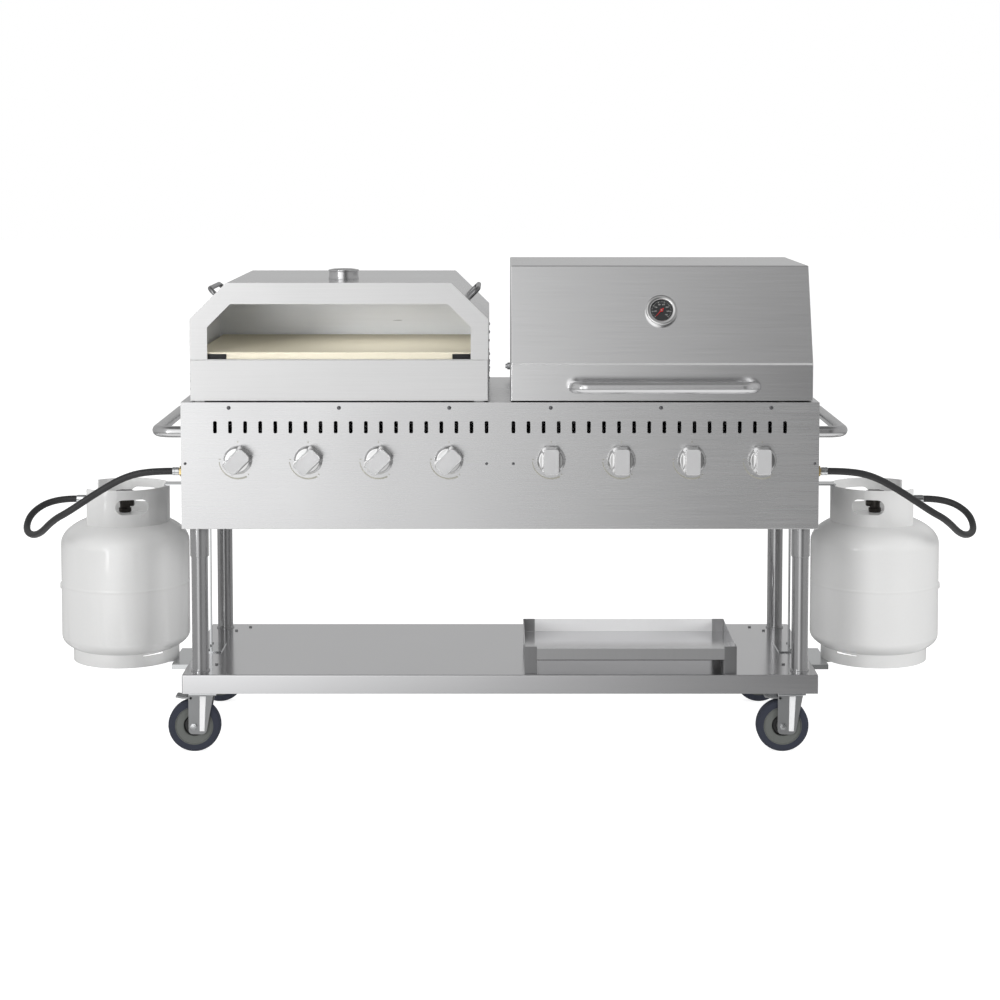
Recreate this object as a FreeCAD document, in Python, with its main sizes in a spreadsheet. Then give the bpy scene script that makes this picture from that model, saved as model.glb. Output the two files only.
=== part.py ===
import FreeCAD, Part
import math
import os
import re
import Sketcher

# Gas grill on a rolling stand: a lift-off pizza oven on the left bay, a hood on the right bay and a propane
# tank at each end. Millimetres. +X is to the right of someone facing the control panel, +Y is to the rear,
# +Z is up, and the origin is on the floor under the middle of the grill.

SIZES = {
    # Body: sheet steel box that holds the burners
    "body_width": 1524,
    "body_depth": 578,
    "body_bottom": 550,
    "body_height": 305,
    "sheet": 1.5,
    "flange": 20,
    "wall_foot": 72,
    "divider_foot": 40,
    # Clearances
    "running_gap": 0.05,
    "seat_gap": 0.3,
    # Control panel
    "vent_start": 32,
    "vent_end": 82,
    "vent_count": 19,
    "vent_width": 9,
    "vent_height": 29,
    "vent_drop": 45,
    "screw_head": 9.5,
    "screw_head_height": 3,
    "screw_shank": 5,
    "screw_length": 12,
    "screw_drop": 13,
    "screw_start": 121,
    "screw_end": 115,
    "small_screw_head": 7,
    "small_screw_rise": 158,
    "small_screw_inset": 10,
    # Knobs and valve stems
    "knob_start": 122,
    "knob_end": 136,
    "knob_rise": 167,
    "knob_diameter": 68,
    "knob_skirt": 5,
    "knob_rim": 12,
    "knob_top": 58,
    "knob_depth": 38,
    "knob_stand": 1.5,
    "grip_foot": 46,
    "grip_top": 32,
    "grip_length": 60,
    "stem_diameter": 8,
    "stem_hole": 14,
    "stem_socket": 16,
    "pointer_width": 3,
    "pointer_height": 1,
    "pointer_inset": 4,
    "knob_lean": 135,
    # Gas train behind the panel
    "pipe_diameter": 21,
    "pipe_setback": 60,
    "pipe_rise": 131,
    "boss_diameter": 16,
    "valve_width": 30,
    "valve_height": 30,
    "orifice_diameter": 10,
    "orifice_length": 16,
    "burner_diameter": 26,
    "burner_wall": 2,
    "burner_setback": 86,
    "burner_rear": 64,
    "rail_setback": 100,
    "rail_rear": 78,
    "rail_height": 80,
    "rail_drop": 27,
    "heat_plate_width": 112,
    "heat_plate_height": 46,
    "heat_plate_overhang": 10,
    # Top frame, grates and drip trays
    "bay_inner": 45,
    "bay_end": 47,
    "bay_setback": 60,
    "bay_rear": 58,
    "bay_lip": 20,
    "bay_ledge": 15,
    "grate_height": 14,
    "grate_border": 20,
    "grate_slot": 12,
    "grate_edge": 27.2,
    "grate_slots": 15,
    "tray_inner": 20,
    "tray_end": 62,
    "tray_setback": 24,
    "tray_height": 34,
    "tray_sheet": 1.2,
    "tray_window_gap": 3,
    "tray_pull": 22,
    # Stand
    "shelf_overhang": 4,
    "shelf_rear": 16,
    "shelf_top": 196,
    "shelf_lip": 46,
    "channel_width": 86,
    "leg_inset": 36,
    "leg_setback": 45,
    "leg_rear": 58,
    "leg_diameter": 40,
    "leg_wall": 1.5,
    "sleeve_wall": 2.5,
    "sleeve_length": 74,
    "bolt_head": 10,
    "bolt_head_height": 5,
    "bolt_length": 5,
    "front_bolt_inset": 71,
    "front_bolt_setback": 105,
    "rear_bolt_inset": 74,
    "rear_bolt_rear": 84,
    "inner_bolt_inset": 106,
    "inner_bolt_rear": 42,
    # Casters
    "caster_inset": 53,
    "caster_height": 164,
    "caster_offset": 28,
    "wheel_diameter": 127,
    "wheel_width": 32,
    "tyre_depth": 17,
    "tyre_round": 7,
    "hub_rim": 8,
    "hub_inset": 1,
    "hub_web": 12,
    "hub_boss": 28,
    "hub_boss_width": 34,
    "axle_diameter": 10,
    "axle_head": 17,
    "axle_head_height": 5,
    "fork_sheet": 3,
    "fork_gap": 1,
    "fork_back": 41,
    "fork_front_top": 20,
    "fork_front_foot": 2,
    "fork_foot": 44,
    "fork_crown": 140,
    "fork_crown_sheet": 4,
    "race_diameter": 54,
    "plate_length": 96,
    "plate_width": 76,
    "plate_sheet": 4,
    "kingpin_diameter": 12,
    "kingpin_head": 18,
    "kingpin_head_height": 3,
    "pedal_pivot_back": 35,
    "pedal_pivot_rise": 133,
    "pedal_pin": 6,
    "pedal_reach": 37,
    "pedal_sheet": 5,
    "pedal_tail": 6,
    # Push handles
    "push_tube": 28,
    "push_reach": 69,
    "push_setback": 60,
    "push_rear": 58,
    "push_rise": 227,
    "push_bend": 40,
    # Hood
    "hood_left": 26,
    "hood_end": 14,
    "hood_setback": 10,
    "hood_lift": 3,
    "hood_skirt": 88,
    "hood_slope_run": 98,
    "hood_slope_rise": 230,
    "hood_rear": 28,
    "hood_back_run": 16,
    "hood_back_rise": 16,
    "hood_heel_rise": 4,
    "hood_heel_run": 4,
    "hood_handle_tube": 28,
    "hood_handle_inset": 148,
    "hood_handle_end": 142,
    "hood_handle_reach": 58,
    "hood_handle_bend": 34,
    "hood_handle_rise": 37,
    "hinge_rear": 43,
    "hinge_rise": 34,
    "hinge_bolt": 8,
    "hinge_head": 19,
    "hinge_head_height": 12,
    "hinge_nut": 14,
    "hinge_nut_height": 6,
    "hinge_tab": 3,
    "hinge_tab_width": 30,
    "hinge_notch": 26,
    # Thermometer
    "gauge_shift": 1,
    "gauge_up_slope": 0.53,
    "gauge_diameter": 76,
    "gauge_depth": 14,
    "gauge_window": 58,
    "gauge_recess": 7,
    "gauge_pin": 3,
    "gauge_pin_height": 4,
    "gauge_probe": 8,
    "gauge_probe_length": 70,
    "needle_hub": 8,
    "needle_length": 22,
    "needle_tail": 7,
    "needle_width": 2.4,
    "needle_sheet": 1,
    "needle_stand": 1.6,
    "needle_lean": 137,
    # Pizza oven
    "oven_end": 22,
    "oven_inner": 28,
    "oven_setback": 10,
    "oven_rear_gap": 23,
    "oven_lift": 3,
    "oven_foot": 24,
    "oven_foot_inset": 10,
    "oven_base_height": 98,
    "oven_shelf": 26,
    "oven_side": 98,
    "oven_height": 184,
    "oven_slope_run": 88,
    "mouth_side": 42,
    "mouth_height": 133,
    "mouth_corner": 55,
    "stone_thickness": 17,
    "stone_margin": 12,
    "stone_setback": 12,
    "stone_rear": 23,
    "clip_width": 44,
    "clip_height": 13,
    "clip_sheet": 3,
    "vent_cap_setback": 170,
    "vent_cap_diameter": 75,
    "vent_cap_height": 24,
    "vent_cap_wall": 2,
    "vent_cap_bore": 60,
    "oven_handle_tube": 12,
    "oven_handle_span": 190,
    "oven_handle_reach": 26,
    "oven_handle_bend": 14,
    "oven_handle_shift": 7.5,
    # Propane tanks
    "tank_gap": 24,
    "tank_shift": 8,
    "tank_foot": 175,
    "tank_diameter": 320,
    "tank_wall": 3,
    "tank_body_rise": 64,
    "tank_body_height": 231,
    "tank_head_height": 75,
    "tank_base_height": 55,
    "ring_diameter": 264,
    "ring_wall": 3,
    "collar_diameter": 224,
    "collar_wall": 3,
    "collar_rise": 70,
    "collar_opening": 150,
    "hand_hole_width": 80,
    "hand_hole_height": 37,
    "hand_hole_lift": 28,
    "hand_hole_turn": 19,
    "neck_diameter": 28,
    "neck_seat": 8,
    "valve_rise": 43,
    "outlet_lift": 33,
    "outlet_diameter": 18,
    "outlet_reach": 28,
    "nut_diameter": 32,
    "nut_reach": 74,
    "regulator_reach": 121,
    "hose_end_diameter": 20,
    "handwheel_diameter": 48,
    "handwheel_height": 8,
    "handwheel_stand": 3,
    "handwheel_lobe": 14,
    "handwheel_lobes": 6,
    "spindle_diameter": 10,
    "spindle_depth": 18,
    # Tank brackets
    "bracket_width": 100,
    "bracket_sheet": 3,
    "bracket_base": 66,
    "bracket_seat": 18,
    "bracket_bolt_inset": 31,
    "bracket_bolt_front": 36,
    "bracket_bolt_rear": 39,
    "bracket_tab": 60,
    "bracket_tab_rise": 25,
    "bracket_wing_width": 180,
    "bracket_wing_reach": 53,
    "bracket_hem": 12,
    "strap_inset": 32,
    "strap_width": 22,
    "hook_width": 50,
    "hook_drop": 20,
    "hook_rise": 40,
    "hook_lip": 30,
    # Gas inlets and hoses
    "inlet_diameter": 26,
    "inlet_length": 12,
    "hose_end_length": 17,
    "hose_diameter": 17,
    # Loose tray on the undershelf
    "pan_left": 59,
    "pan_right": 571,
    "pan_setback": 17,
    "pan_depth": 312,
    "pan_height": 65,
    "pan_floor": 31,
    "pan_sheet": 1.5,
    "pan_lip_drop": 5,
    "pan_leg": 30,
    "pan_leg_sheet": 2,
}

PLACES = {
    "body_top": "body_bottom + body_height",
    "body_half": "body_width / 2",
    "hood_handle_front": "hood_handle_reach + hood_handle_tube / 2 - hood_setback",
    "panel_front": "(hood_handle_front - body_depth - tray_pull) / 2",
    "panel_back": "panel_front + sheet",
    "body_rear": "panel_front + body_depth",
    "vent_pitch": "(body_half - vent_start - vent_end) / (vent_count - 1)",
    "screw_pitch": "(body_half - screw_start - screw_end) / 2",
    "knob_pitch": "(body_half - knob_start - knob_end) / 3",
    "knob_z": "body_bottom + knob_rise",
    "pipe_y": "panel_front + pipe_setback",
    "pipe_z": "body_bottom + pipe_rise",
    "burner_length": "body_depth - burner_setback - burner_rear",
    "rail_span": "body_depth - rail_setback - rail_rear",
    "heat_plate_length": "rail_span + 2 * heat_plate_overhang",
    "bay_outer": "body_half - bay_end",
    "bay_depth": "body_depth - bay_setback - bay_rear",
    "tray_outer": "body_half - tray_end",
    "shelf_width": "body_width + 2 * shelf_overhang",
    "shelf_depth": "body_depth - shelf_rear",
    "shelf_half": "shelf_width / 2",
    "leg_x": "body_half - leg_inset",
    "leg_pitch": "body_depth - leg_setback - leg_rear",
    "leg_front": "panel_front + leg_setback",
    "caster_x": "shelf_half - caster_inset",
    "wheel_radius": "wheel_diameter / 2",
    "hub_radius": "wheel_radius - tyre_depth",
    "fork_inner": "hub_boss_width / 2 + fork_gap",
    "fork_outer": "fork_inner + fork_sheet",
    "push_span": "body_depth - push_setback - push_rear",
    "hood_right": "body_half - hood_end",
    "hood_top_depth": "body_depth - hood_setback - hood_slope_run - hood_back_run - hood_rear",
    "hood_handle_left": "hood_left + hood_handle_inset",
    "hood_handle_right": "hood_right - hood_handle_end",
    "hood_front": "panel_front + hood_setback",
    "hood_base": "body_top + hood_lift",
    "hood_shoulder": "hood_base + hood_skirt",
    "hood_top": "hood_shoulder + hood_slope_rise",
    "hood_brow": "hood_front + hood_slope_run",
    "hood_crest": "hood_brow + hood_top_depth",
    "hood_back": "hood_crest + hood_back_run",
    "hinge_y": "body_rear - hinge_rear",
    "hinge_z": "body_top + hinge_rise",
    "gauge_across": "(hood_left + hood_right) / 2 + gauge_shift",
    "gauge_y": "hood_front + hood_slope_run * gauge_up_slope",
    "gauge_z": "hood_shoulder + hood_slope_rise * gauge_up_slope",
    "oven_left": "oven_end - body_half",
    "oven_right": "-oven_inner",
    "oven_middle": "(oven_left + oven_right) / 2",
    "oven_depth": "body_depth - oven_setback - oven_rear_gap",
    "stone_depth": "oven_depth - stone_setback - stone_rear",
    "oven_handle_setback": "oven_setback + oven_depth / 2 - oven_handle_shift",
    "oven_front": "panel_front + oven_setback",
    "oven_rear": "oven_front + oven_depth",
    "oven_base_z": "body_top + oven_lift",
    "oven_deck": "oven_base_z + oven_base_height",
    "oven_eave": "oven_deck + oven_side",
    "oven_top": "oven_deck + oven_height",
    "tank_x": "body_half + tank_gap + tank_diameter / 2",
    "tank_setback": "body_depth / 2 - tank_shift",
    "tank_y": "panel_front + tank_setback",
    "tank_shoulder": "tank_body_rise + tank_body_height",
    "tank_crown": "tank_shoulder + tank_head_height",
    "collar_top": "tank_crown + collar_rise",
    "hand_hole_rise": "tank_crown + hand_hole_lift",
    "valve_top": "tank_crown + valve_rise",
    "outlet_rise": "tank_crown + outlet_lift",
    "collar_inner": "collar_diameter / 2 - collar_wall",
    "collar_rim": "tank_foot + collar_top",
    "tray_floor": "body_bottom + sheet + seat_gap",
    "grate_z": "body_top - bay_lip + sheet",
    "grate_width": "(bay_outer - bay_inner) / 2 - 2 * seat_gap",
    "grate_depth": "bay_depth - 2 * seat_gap",
    "grate_pitch": "(grate_width - 2 * grate_edge) / (grate_slots - 1)",
    "rail_top": "knob_z - rail_drop + rail_height",
    "pan_front": "panel_front + pan_setback",
    "bracket_inner": "shelf_half - bracket_base",
    "bracket_reach": "tank_x - ring_diameter / 2 + bracket_seat",
    "strap_offset": "body_half - strap_inset",
    "hose_start": "body_half + inlet_length + hose_end_length",
    "hose_reach": "tank_x + regulator_reach - hose_start",
    "outlet_z": "tank_foot + outlet_rise",
}

# Free route of a hose, as shares of the way across, back and down from its end fitting on the end wall to the
# end of the regulator.
HOSE_ROUTE = (
    (0, 0, 0),
    (0.199, 0, 0),
    (0.424, 0.018, 0.136),
    (0.674, 0.027, 0.524),
    (0.917, -0.009, 0.961),
    (1.065, 0.072, 1.184),
    (1.243, 0.29, 1.66),
    (1.406, 0.579, 1.66),
    (1.399, 0.846, 1.282),
    (1.203, 1, 1),
    (1, 1, 1),
)
BEND_SHARE = 0.45

# Bolts through the undershelf, by distance in from its end and behind the front of the control panel.
SHELF_BOLTS = (
    ("front_bolt_inset", "front_bolt_setback"),
    ("rear_bolt_inset", "shelf_depth - rear_bolt_rear"),
    ("inner_bolt_inset", "shelf_depth - inner_bolt_rear"),
)
BRACKET_BOLTS = (
    ("bracket_bolt_inset", "tank_setback - bracket_bolt_front"),
    ("bracket_bolt_inset", "tank_setback + bracket_bolt_rear"),
)

SIDES = (("left", -1), ("right", 1))
ROWS = (("front", 0), ("rear", 1))
KNOBS_PER_SIDE = 4
AXIS_TURNS = {"x": ((0, 1, 0), 90), "y": ((1, 0, 0), -90), "z": None}

document = FreeCAD.newDocument("gas_grill")
sizes = document.addObject("Spreadsheet::Sheet", "sizes")
places = document.addObject("Spreadsheet::Sheet", "places")
nodes = {}
fasteners = []


def on_sheets(text, inside_places=False):
    """Point each size or place named in an expression at its cell."""

    def cell(match):
        name = match.group(0)
        if name in SIZES:
            return "sizes." + name
        if name in PLACES and not inside_places:
            return "places." + name
        return name

    return re.sub(r"[a-z][a-z_]*", cell, str(text))


def fill_sheets():
    """Write the driving sizes and the places worked out from them."""
    for row, (name, number) in enumerate(SIZES.items(), start=1):
        sizes.set(f"A{row}", name)
        sizes.set(f"B{row}", str(number))
        sizes.setAlias(f"B{row}", name)
    document.recompute()
    for row, (name, formula) in enumerate(PLACES.items(), start=1):
        places.set(f"A{row}", name)
        places.set(f"B{row}", "=" + on_sheets(formula, inside_places=True))
        places.setAlias(f"B{row}", name)
    document.recompute()


def value(text):
    """The number that an expression has now."""
    return float(places.evalExpression(on_sheets(text)))


def bind(piece, **expressions):
    """Tie properties of a piece to the sheets."""
    for name, text in expressions.items():
        piece.setExpression(name, on_sheets(text))


def put(piece, at, axis=None, angle=0):
    """Place a piece, with its position and any written angle tied to the sheets."""
    if axis:
        start = 1 if isinstance(angle, str) else angle
        turn = FreeCAD.Rotation(FreeCAD.Vector(*axis), start)
        piece.Placement = FreeCAD.Placement(FreeCAD.Vector(), turn)
        if isinstance(angle, str):
            piece.setExpression("Placement.Rotation.Angle", on_sheets(angle))
    for name, text in zip("xyz", at):
        piece.setExpression("Placement.Base." + name, on_sheets(text))
    return piece


def block(name, x, y, z):
    """A box between a low and a high plane along each axis."""
    piece = document.addObject("Part::Box", name)
    for side, (low, high) in zip(("Length", "Width", "Height"), (x, y, z)):
        bind(piece, **{side: f"({high}) - ({low})"})
    return put(piece, (x[0], y[0], z[0]))


def span(side, near, far):
    """Low and high planes of something between two distances from the middle, on one side."""
    return (near, far) if side > 0 else (f"-({far})", f"-({near})")


def rod(name, diameter, length, at, along="z"):
    """A round bar that starts at a point and runs along an axis."""
    piece = document.addObject("Part::Cylinder", name)
    bind(piece, Radius=f"({diameter}) / 2", Height=length)
    turn = AXIS_TURNS[along]
    return put(piece, at, *turn) if turn else put(piece, at)


def moved(at, along, amount):
    """A point moved along an axis."""
    return tuple(f"({text}) + ({amount})" if axis == along else text for axis, text in zip("xyz", at))


def fastener(name, head, height, length, at, along, inward):
    """Add a screw whose head sits on a face at a point, and give back its shank for cutting the hole."""
    shank = rod(name + "_shank", "screw_shank", length,
                at if inward > 0 else moved(at, along, f"-({length})"), along)
    cap = rod(name + "_head", head, height, moved(at, along, f"-({height})") if inward > 0 else at, along)
    fasteners.append(join(name, shank, cap))
    return shank


def cut(name, base, *tools):
    """A piece with tools taken away from it."""
    piece = document.addObject("Part::Cut", name)
    piece.Base = base
    piece.Tool = tools[0] if len(tools) == 1 else group(name + "_tools", *tools)
    return piece


def join(name, *pieces):
    """Pieces welded into one."""
    piece = document.addObject("Part::MultiFuse", name)
    piece.Shapes = list(pieces)
    piece.Refine = True
    return piece


def common(name, base, tool):
    """What two pieces share."""
    piece = document.addObject("Part::Common", name)
    piece.Base = base
    piece.Tool = tool
    return piece


def group(name, *pieces):
    """Separate pieces kept together."""
    piece = document.addObject("Part::Compound", name)
    piece.Links = list(pieces)
    return piece


def placed(name, source, at, axis=None, angle=0):
    """A copy of a piece in another place."""
    return put(group(name, source), at, axis, angle)


def mirrored(name, source, plane="0"):
    """The mirror image of a piece in a plane across X."""
    piece = document.addObject("Part::Mirroring", name)
    piece.Source = source
    piece.Normal = FreeCAD.Vector(1, 0, 0)
    bind(piece, **{"Base.x": plane})
    return piece


def pair(name, source):
    """A piece and its mirror image about the middle."""
    return group(name, source, mirrored(name + "_mirror", source))


def keep(piece, name=None):
    """Count a piece as a finished sub-part under its label."""
    piece.Label = name or piece.Label
    nodes[piece.Label] = piece
    return piece


def new_body(name):
    return document.addObject("PartDesign::Body", name)


def sketch(body, name, role):
    """An empty sketch on one of the body's own planes."""
    drawing = body.newObject("Sketcher::SketchObject", name)
    plane = next(item for item in body.Origin.OriginFeatures if item.Role == role)
    drawing.AttachmentSupport = (plane, [""])
    drawing.MapMode = "FlatFace"
    return drawing


def fix_point(drawing, line, end, point):
    """Hold a point of a sketch at a place worked out on the sheets."""
    for kind, text in zip(("DistanceX", "DistanceY"), point):
        index = drawing.addConstraint(Sketcher.Constraint(kind, -1, 1, line, end, value(text)))
        drawing.setExpression(f"Constraints[{index}]", on_sheets(text))


def draw_outline(drawing, points):
    """A closed outline of straight lines."""
    first = drawing.GeometryCount
    corners = [FreeCAD.Vector(value(across), value(up), 0) for across, up in points]
    count = len(corners)
    for index in range(count):
        drawing.addGeometry(Part.LineSegment(corners[index], corners[(index + 1) % count]))
    for index in range(count):
        following = first + (index + 1) % count
        drawing.addConstraint(Sketcher.Constraint("Coincident", first + index, 2, following, 1))
    for index, point in enumerate(points):
        fix_point(drawing, first + index, 1, point)
    return drawing


def draw_circle(drawing, diameter, centre):
    """A circle about a point."""
    line = drawing.GeometryCount
    middle = FreeCAD.Vector(value(centre[0]), value(centre[1]), 0)
    radius = value(diameter) / 2
    drawing.addGeometry(Part.Circle(middle, FreeCAD.Vector(0, 0, 1), radius))
    index = drawing.addConstraint(Sketcher.Constraint("Radius", line, radius))
    drawing.setExpression(f"Constraints[{index}]", on_sheets(f"({diameter}) / 2"))
    fix_point(drawing, line, 3, centre)
    return drawing


def rectangle(left, right, low, high):
    """Corners of a rectangle, in order."""
    return ((left, low), (right, low), (right, high), (left, high))


def pad(body, drawing, length, backwards=False):
    """Sketch to solid."""
    feature = body.newObject("PartDesign::Pad", drawing.Name + "_pad")
    feature.Profile = drawing
    feature.Reversed = backwards
    bind(feature, Length=length)
    return feature


def pocket(body, drawing):
    """Sketch to a cut right through."""
    feature = body.newObject("PartDesign::Pocket", drawing.Name + "_cut")
    feature.Profile = drawing
    feature.Type = "ThroughAll"
    return feature


def repeat(body, feature, drawing, count, pitch, backwards=False):
    """Copies of a cut in a row along the sketch's horizontal."""
    pattern = body.newObject("PartDesign::LinearPattern", drawing.Name + "_row")
    pattern.Originals = [feature]
    pattern.Direction = (drawing, ["H_Axis"])
    pattern.Reversed = backwards
    bind(pattern, Length=f"({pitch}) * (({count}) - 1)", Occurrences=count)
    body.Tip = pattern
    return pattern


def turned(name, points):
    """A solid turned about Z from a profile of radius and height."""
    body = new_body(name)
    drawing = draw_outline(sketch(body, name + "_profile", "XZ_Plane"), points)
    feature = body.newObject("PartDesign::Revolution", name + "_turn")
    feature.Profile = drawing
    feature.ReferenceAxis = (drawing, ["V_Axis"])
    feature.Angle = 360
    return body


def extruded(name, role, points, length, backwards=False):
    """A solid bar with one outline."""
    body = new_body(name)
    pad(body, draw_outline(sketch(body, name + "_outline", role), points), length, backwards)
    return body


def hollowed(name, solid, is_open, wall):
    """A solid made into a sheet shell that is open at the chosen faces."""
    document.recompute()
    faces = [f"Face{index}" for index, face in enumerate(solid.Shape.Faces, start=1) if is_open(face)]
    piece = document.addObject("Part::Thickness", name)
    piece.Faces = (solid, faces)
    piece.Join = "Intersection"
    bind(piece, Value=f"-({wall})")
    return piece


def faces_along(direction):
    """A test for flat faces that look along a direction."""
    wanted = FreeCAD.Vector(*direction)

    def test(face):
        return face.normalAt(0, 0).isEqual(wanted, 1e-6)

    return test


def loop_handle(name, spread, reach, diameter, bend):
    """A tube bent to a loop: feet on Z = 0 at both ends of X, and a straight grip at Z = reach."""
    leg = rod(name + "_leg", diameter, f"({reach}) - ({bend})", (f"({spread}) / 2", 0, 0))
    elbow = document.addObject("Part::Torus", name + "_elbow")
    bind(elbow, Radius1=bend, Radius2=f"({diameter}) / 2")
    elbow.Angle3 = 90
    put(elbow, (f"({spread}) / 2 - ({bend})", 0, f"({reach}) - ({bend})"), (1, 0, 0), 90)
    grip = rod(name + "_grip", diameter, f"({spread}) / 2 - ({bend})", (0, 0, reach), "x")
    half = join(name + "_half", leg, elbow, grip)
    return join(name, half, mirrored(name + "_other_half", half))


def build_stand():
    """Undershelf with its stiffeners, legs and sleeves."""
    rear = "panel_front + shelf_depth"
    outer = block("shelf_outer", ("-shelf_half", "shelf_half"), ("panel_front", rear),
                  ("shelf_top - shelf_lip", "shelf_top"))
    hollow = block("shelf_hollow", ("sheet - shelf_half", "shelf_half - sheet"),
                   ("panel_front + sheet", f"{rear} - sheet"),
                   ("shelf_top - shelf_lip", "shelf_top - sheet"))
    tray = cut("shelf_pressing", outer, hollow)
    channels = []
    for side, sign in SIDES:
        middle = f"{sign} * caster_x"
        deep = ("panel_front + flange", f"{rear} - flange")
        web = block(f"channel_{side}_outer",
                    (f"{middle} - channel_width / 2", f"{middle} + channel_width / 2"), deep,
                    ("caster_height", "shelf_top - sheet"))
        inside = block(f"channel_{side}_inside",
                       (f"{middle} - channel_width / 2 + sheet", f"{middle} + channel_width / 2 - sheet"),
                       deep,
                       ("caster_height + sheet", "shelf_top - sheet"))
        channels.append(cut(f"channel_{side}", web, inside))
    shanks = []
    for side, sign in SIDES:
        for number, (across, deep) in enumerate(SHELF_BOLTS):
            at = f"{sign} * (shelf_half - {across})", f"panel_front + {deep}", "shelf_top"
            shanks.append(fastener(f"shelf_bolt_{side}_{number}", "bolt_head", "bolt_head_height",
                                   "bolt_length", at, "z", -1))
        for number, (across, deep) in enumerate(BRACKET_BOLTS):
            at = f"{sign} * (shelf_half - {across})", f"panel_front + {deep}", "shelf_top + bracket_sheet"
            shanks.append(fastener(f"bracket_bolt_{side}_{number}", "bolt_head", "bolt_head_height",
                                   "bolt_length", at, "z", -1))
    keep(cut("undershelf", join("undershelf_welded", tray, *channels), *shanks))
    tubes = []
    for side, sign in SIDES:
        for row, step in ROWS:
            at = f"{sign} * leg_x", f"leg_front + {step} * leg_pitch"
            name = f"leg_{row}_{side}"
            post_length = "body_bottom - shelf_top"
            post = rod(name + "_post", "leg_diameter", post_length, (*at, "shelf_top"))
            bore = rod(name + "_bore", "leg_diameter - 2 * leg_wall", post_length, (*at, "shelf_top"))
            tubes.append(cut(name + "_tube", post, bore))
            sleeve_foot = "body_bottom - sleeve_length"
            sleeve = rod(name + "_sleeve", "leg_diameter + 2 * sleeve_wall", "sleeve_length",
                         (*at, sleeve_foot))
            hole = rod(name + "_sleeve_bore", "leg_diameter", "sleeve_length", (*at, sleeve_foot))
            tubes.append(cut(name + "_cuff", sleeve, hole))
    keep(group("legs", *tubes))


def caster_place(sign, step):
    """Where a caster's swivel axis meets the floor."""
    return f"{sign} * caster_x", f"leg_front + {step} * leg_pitch", 0


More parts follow.
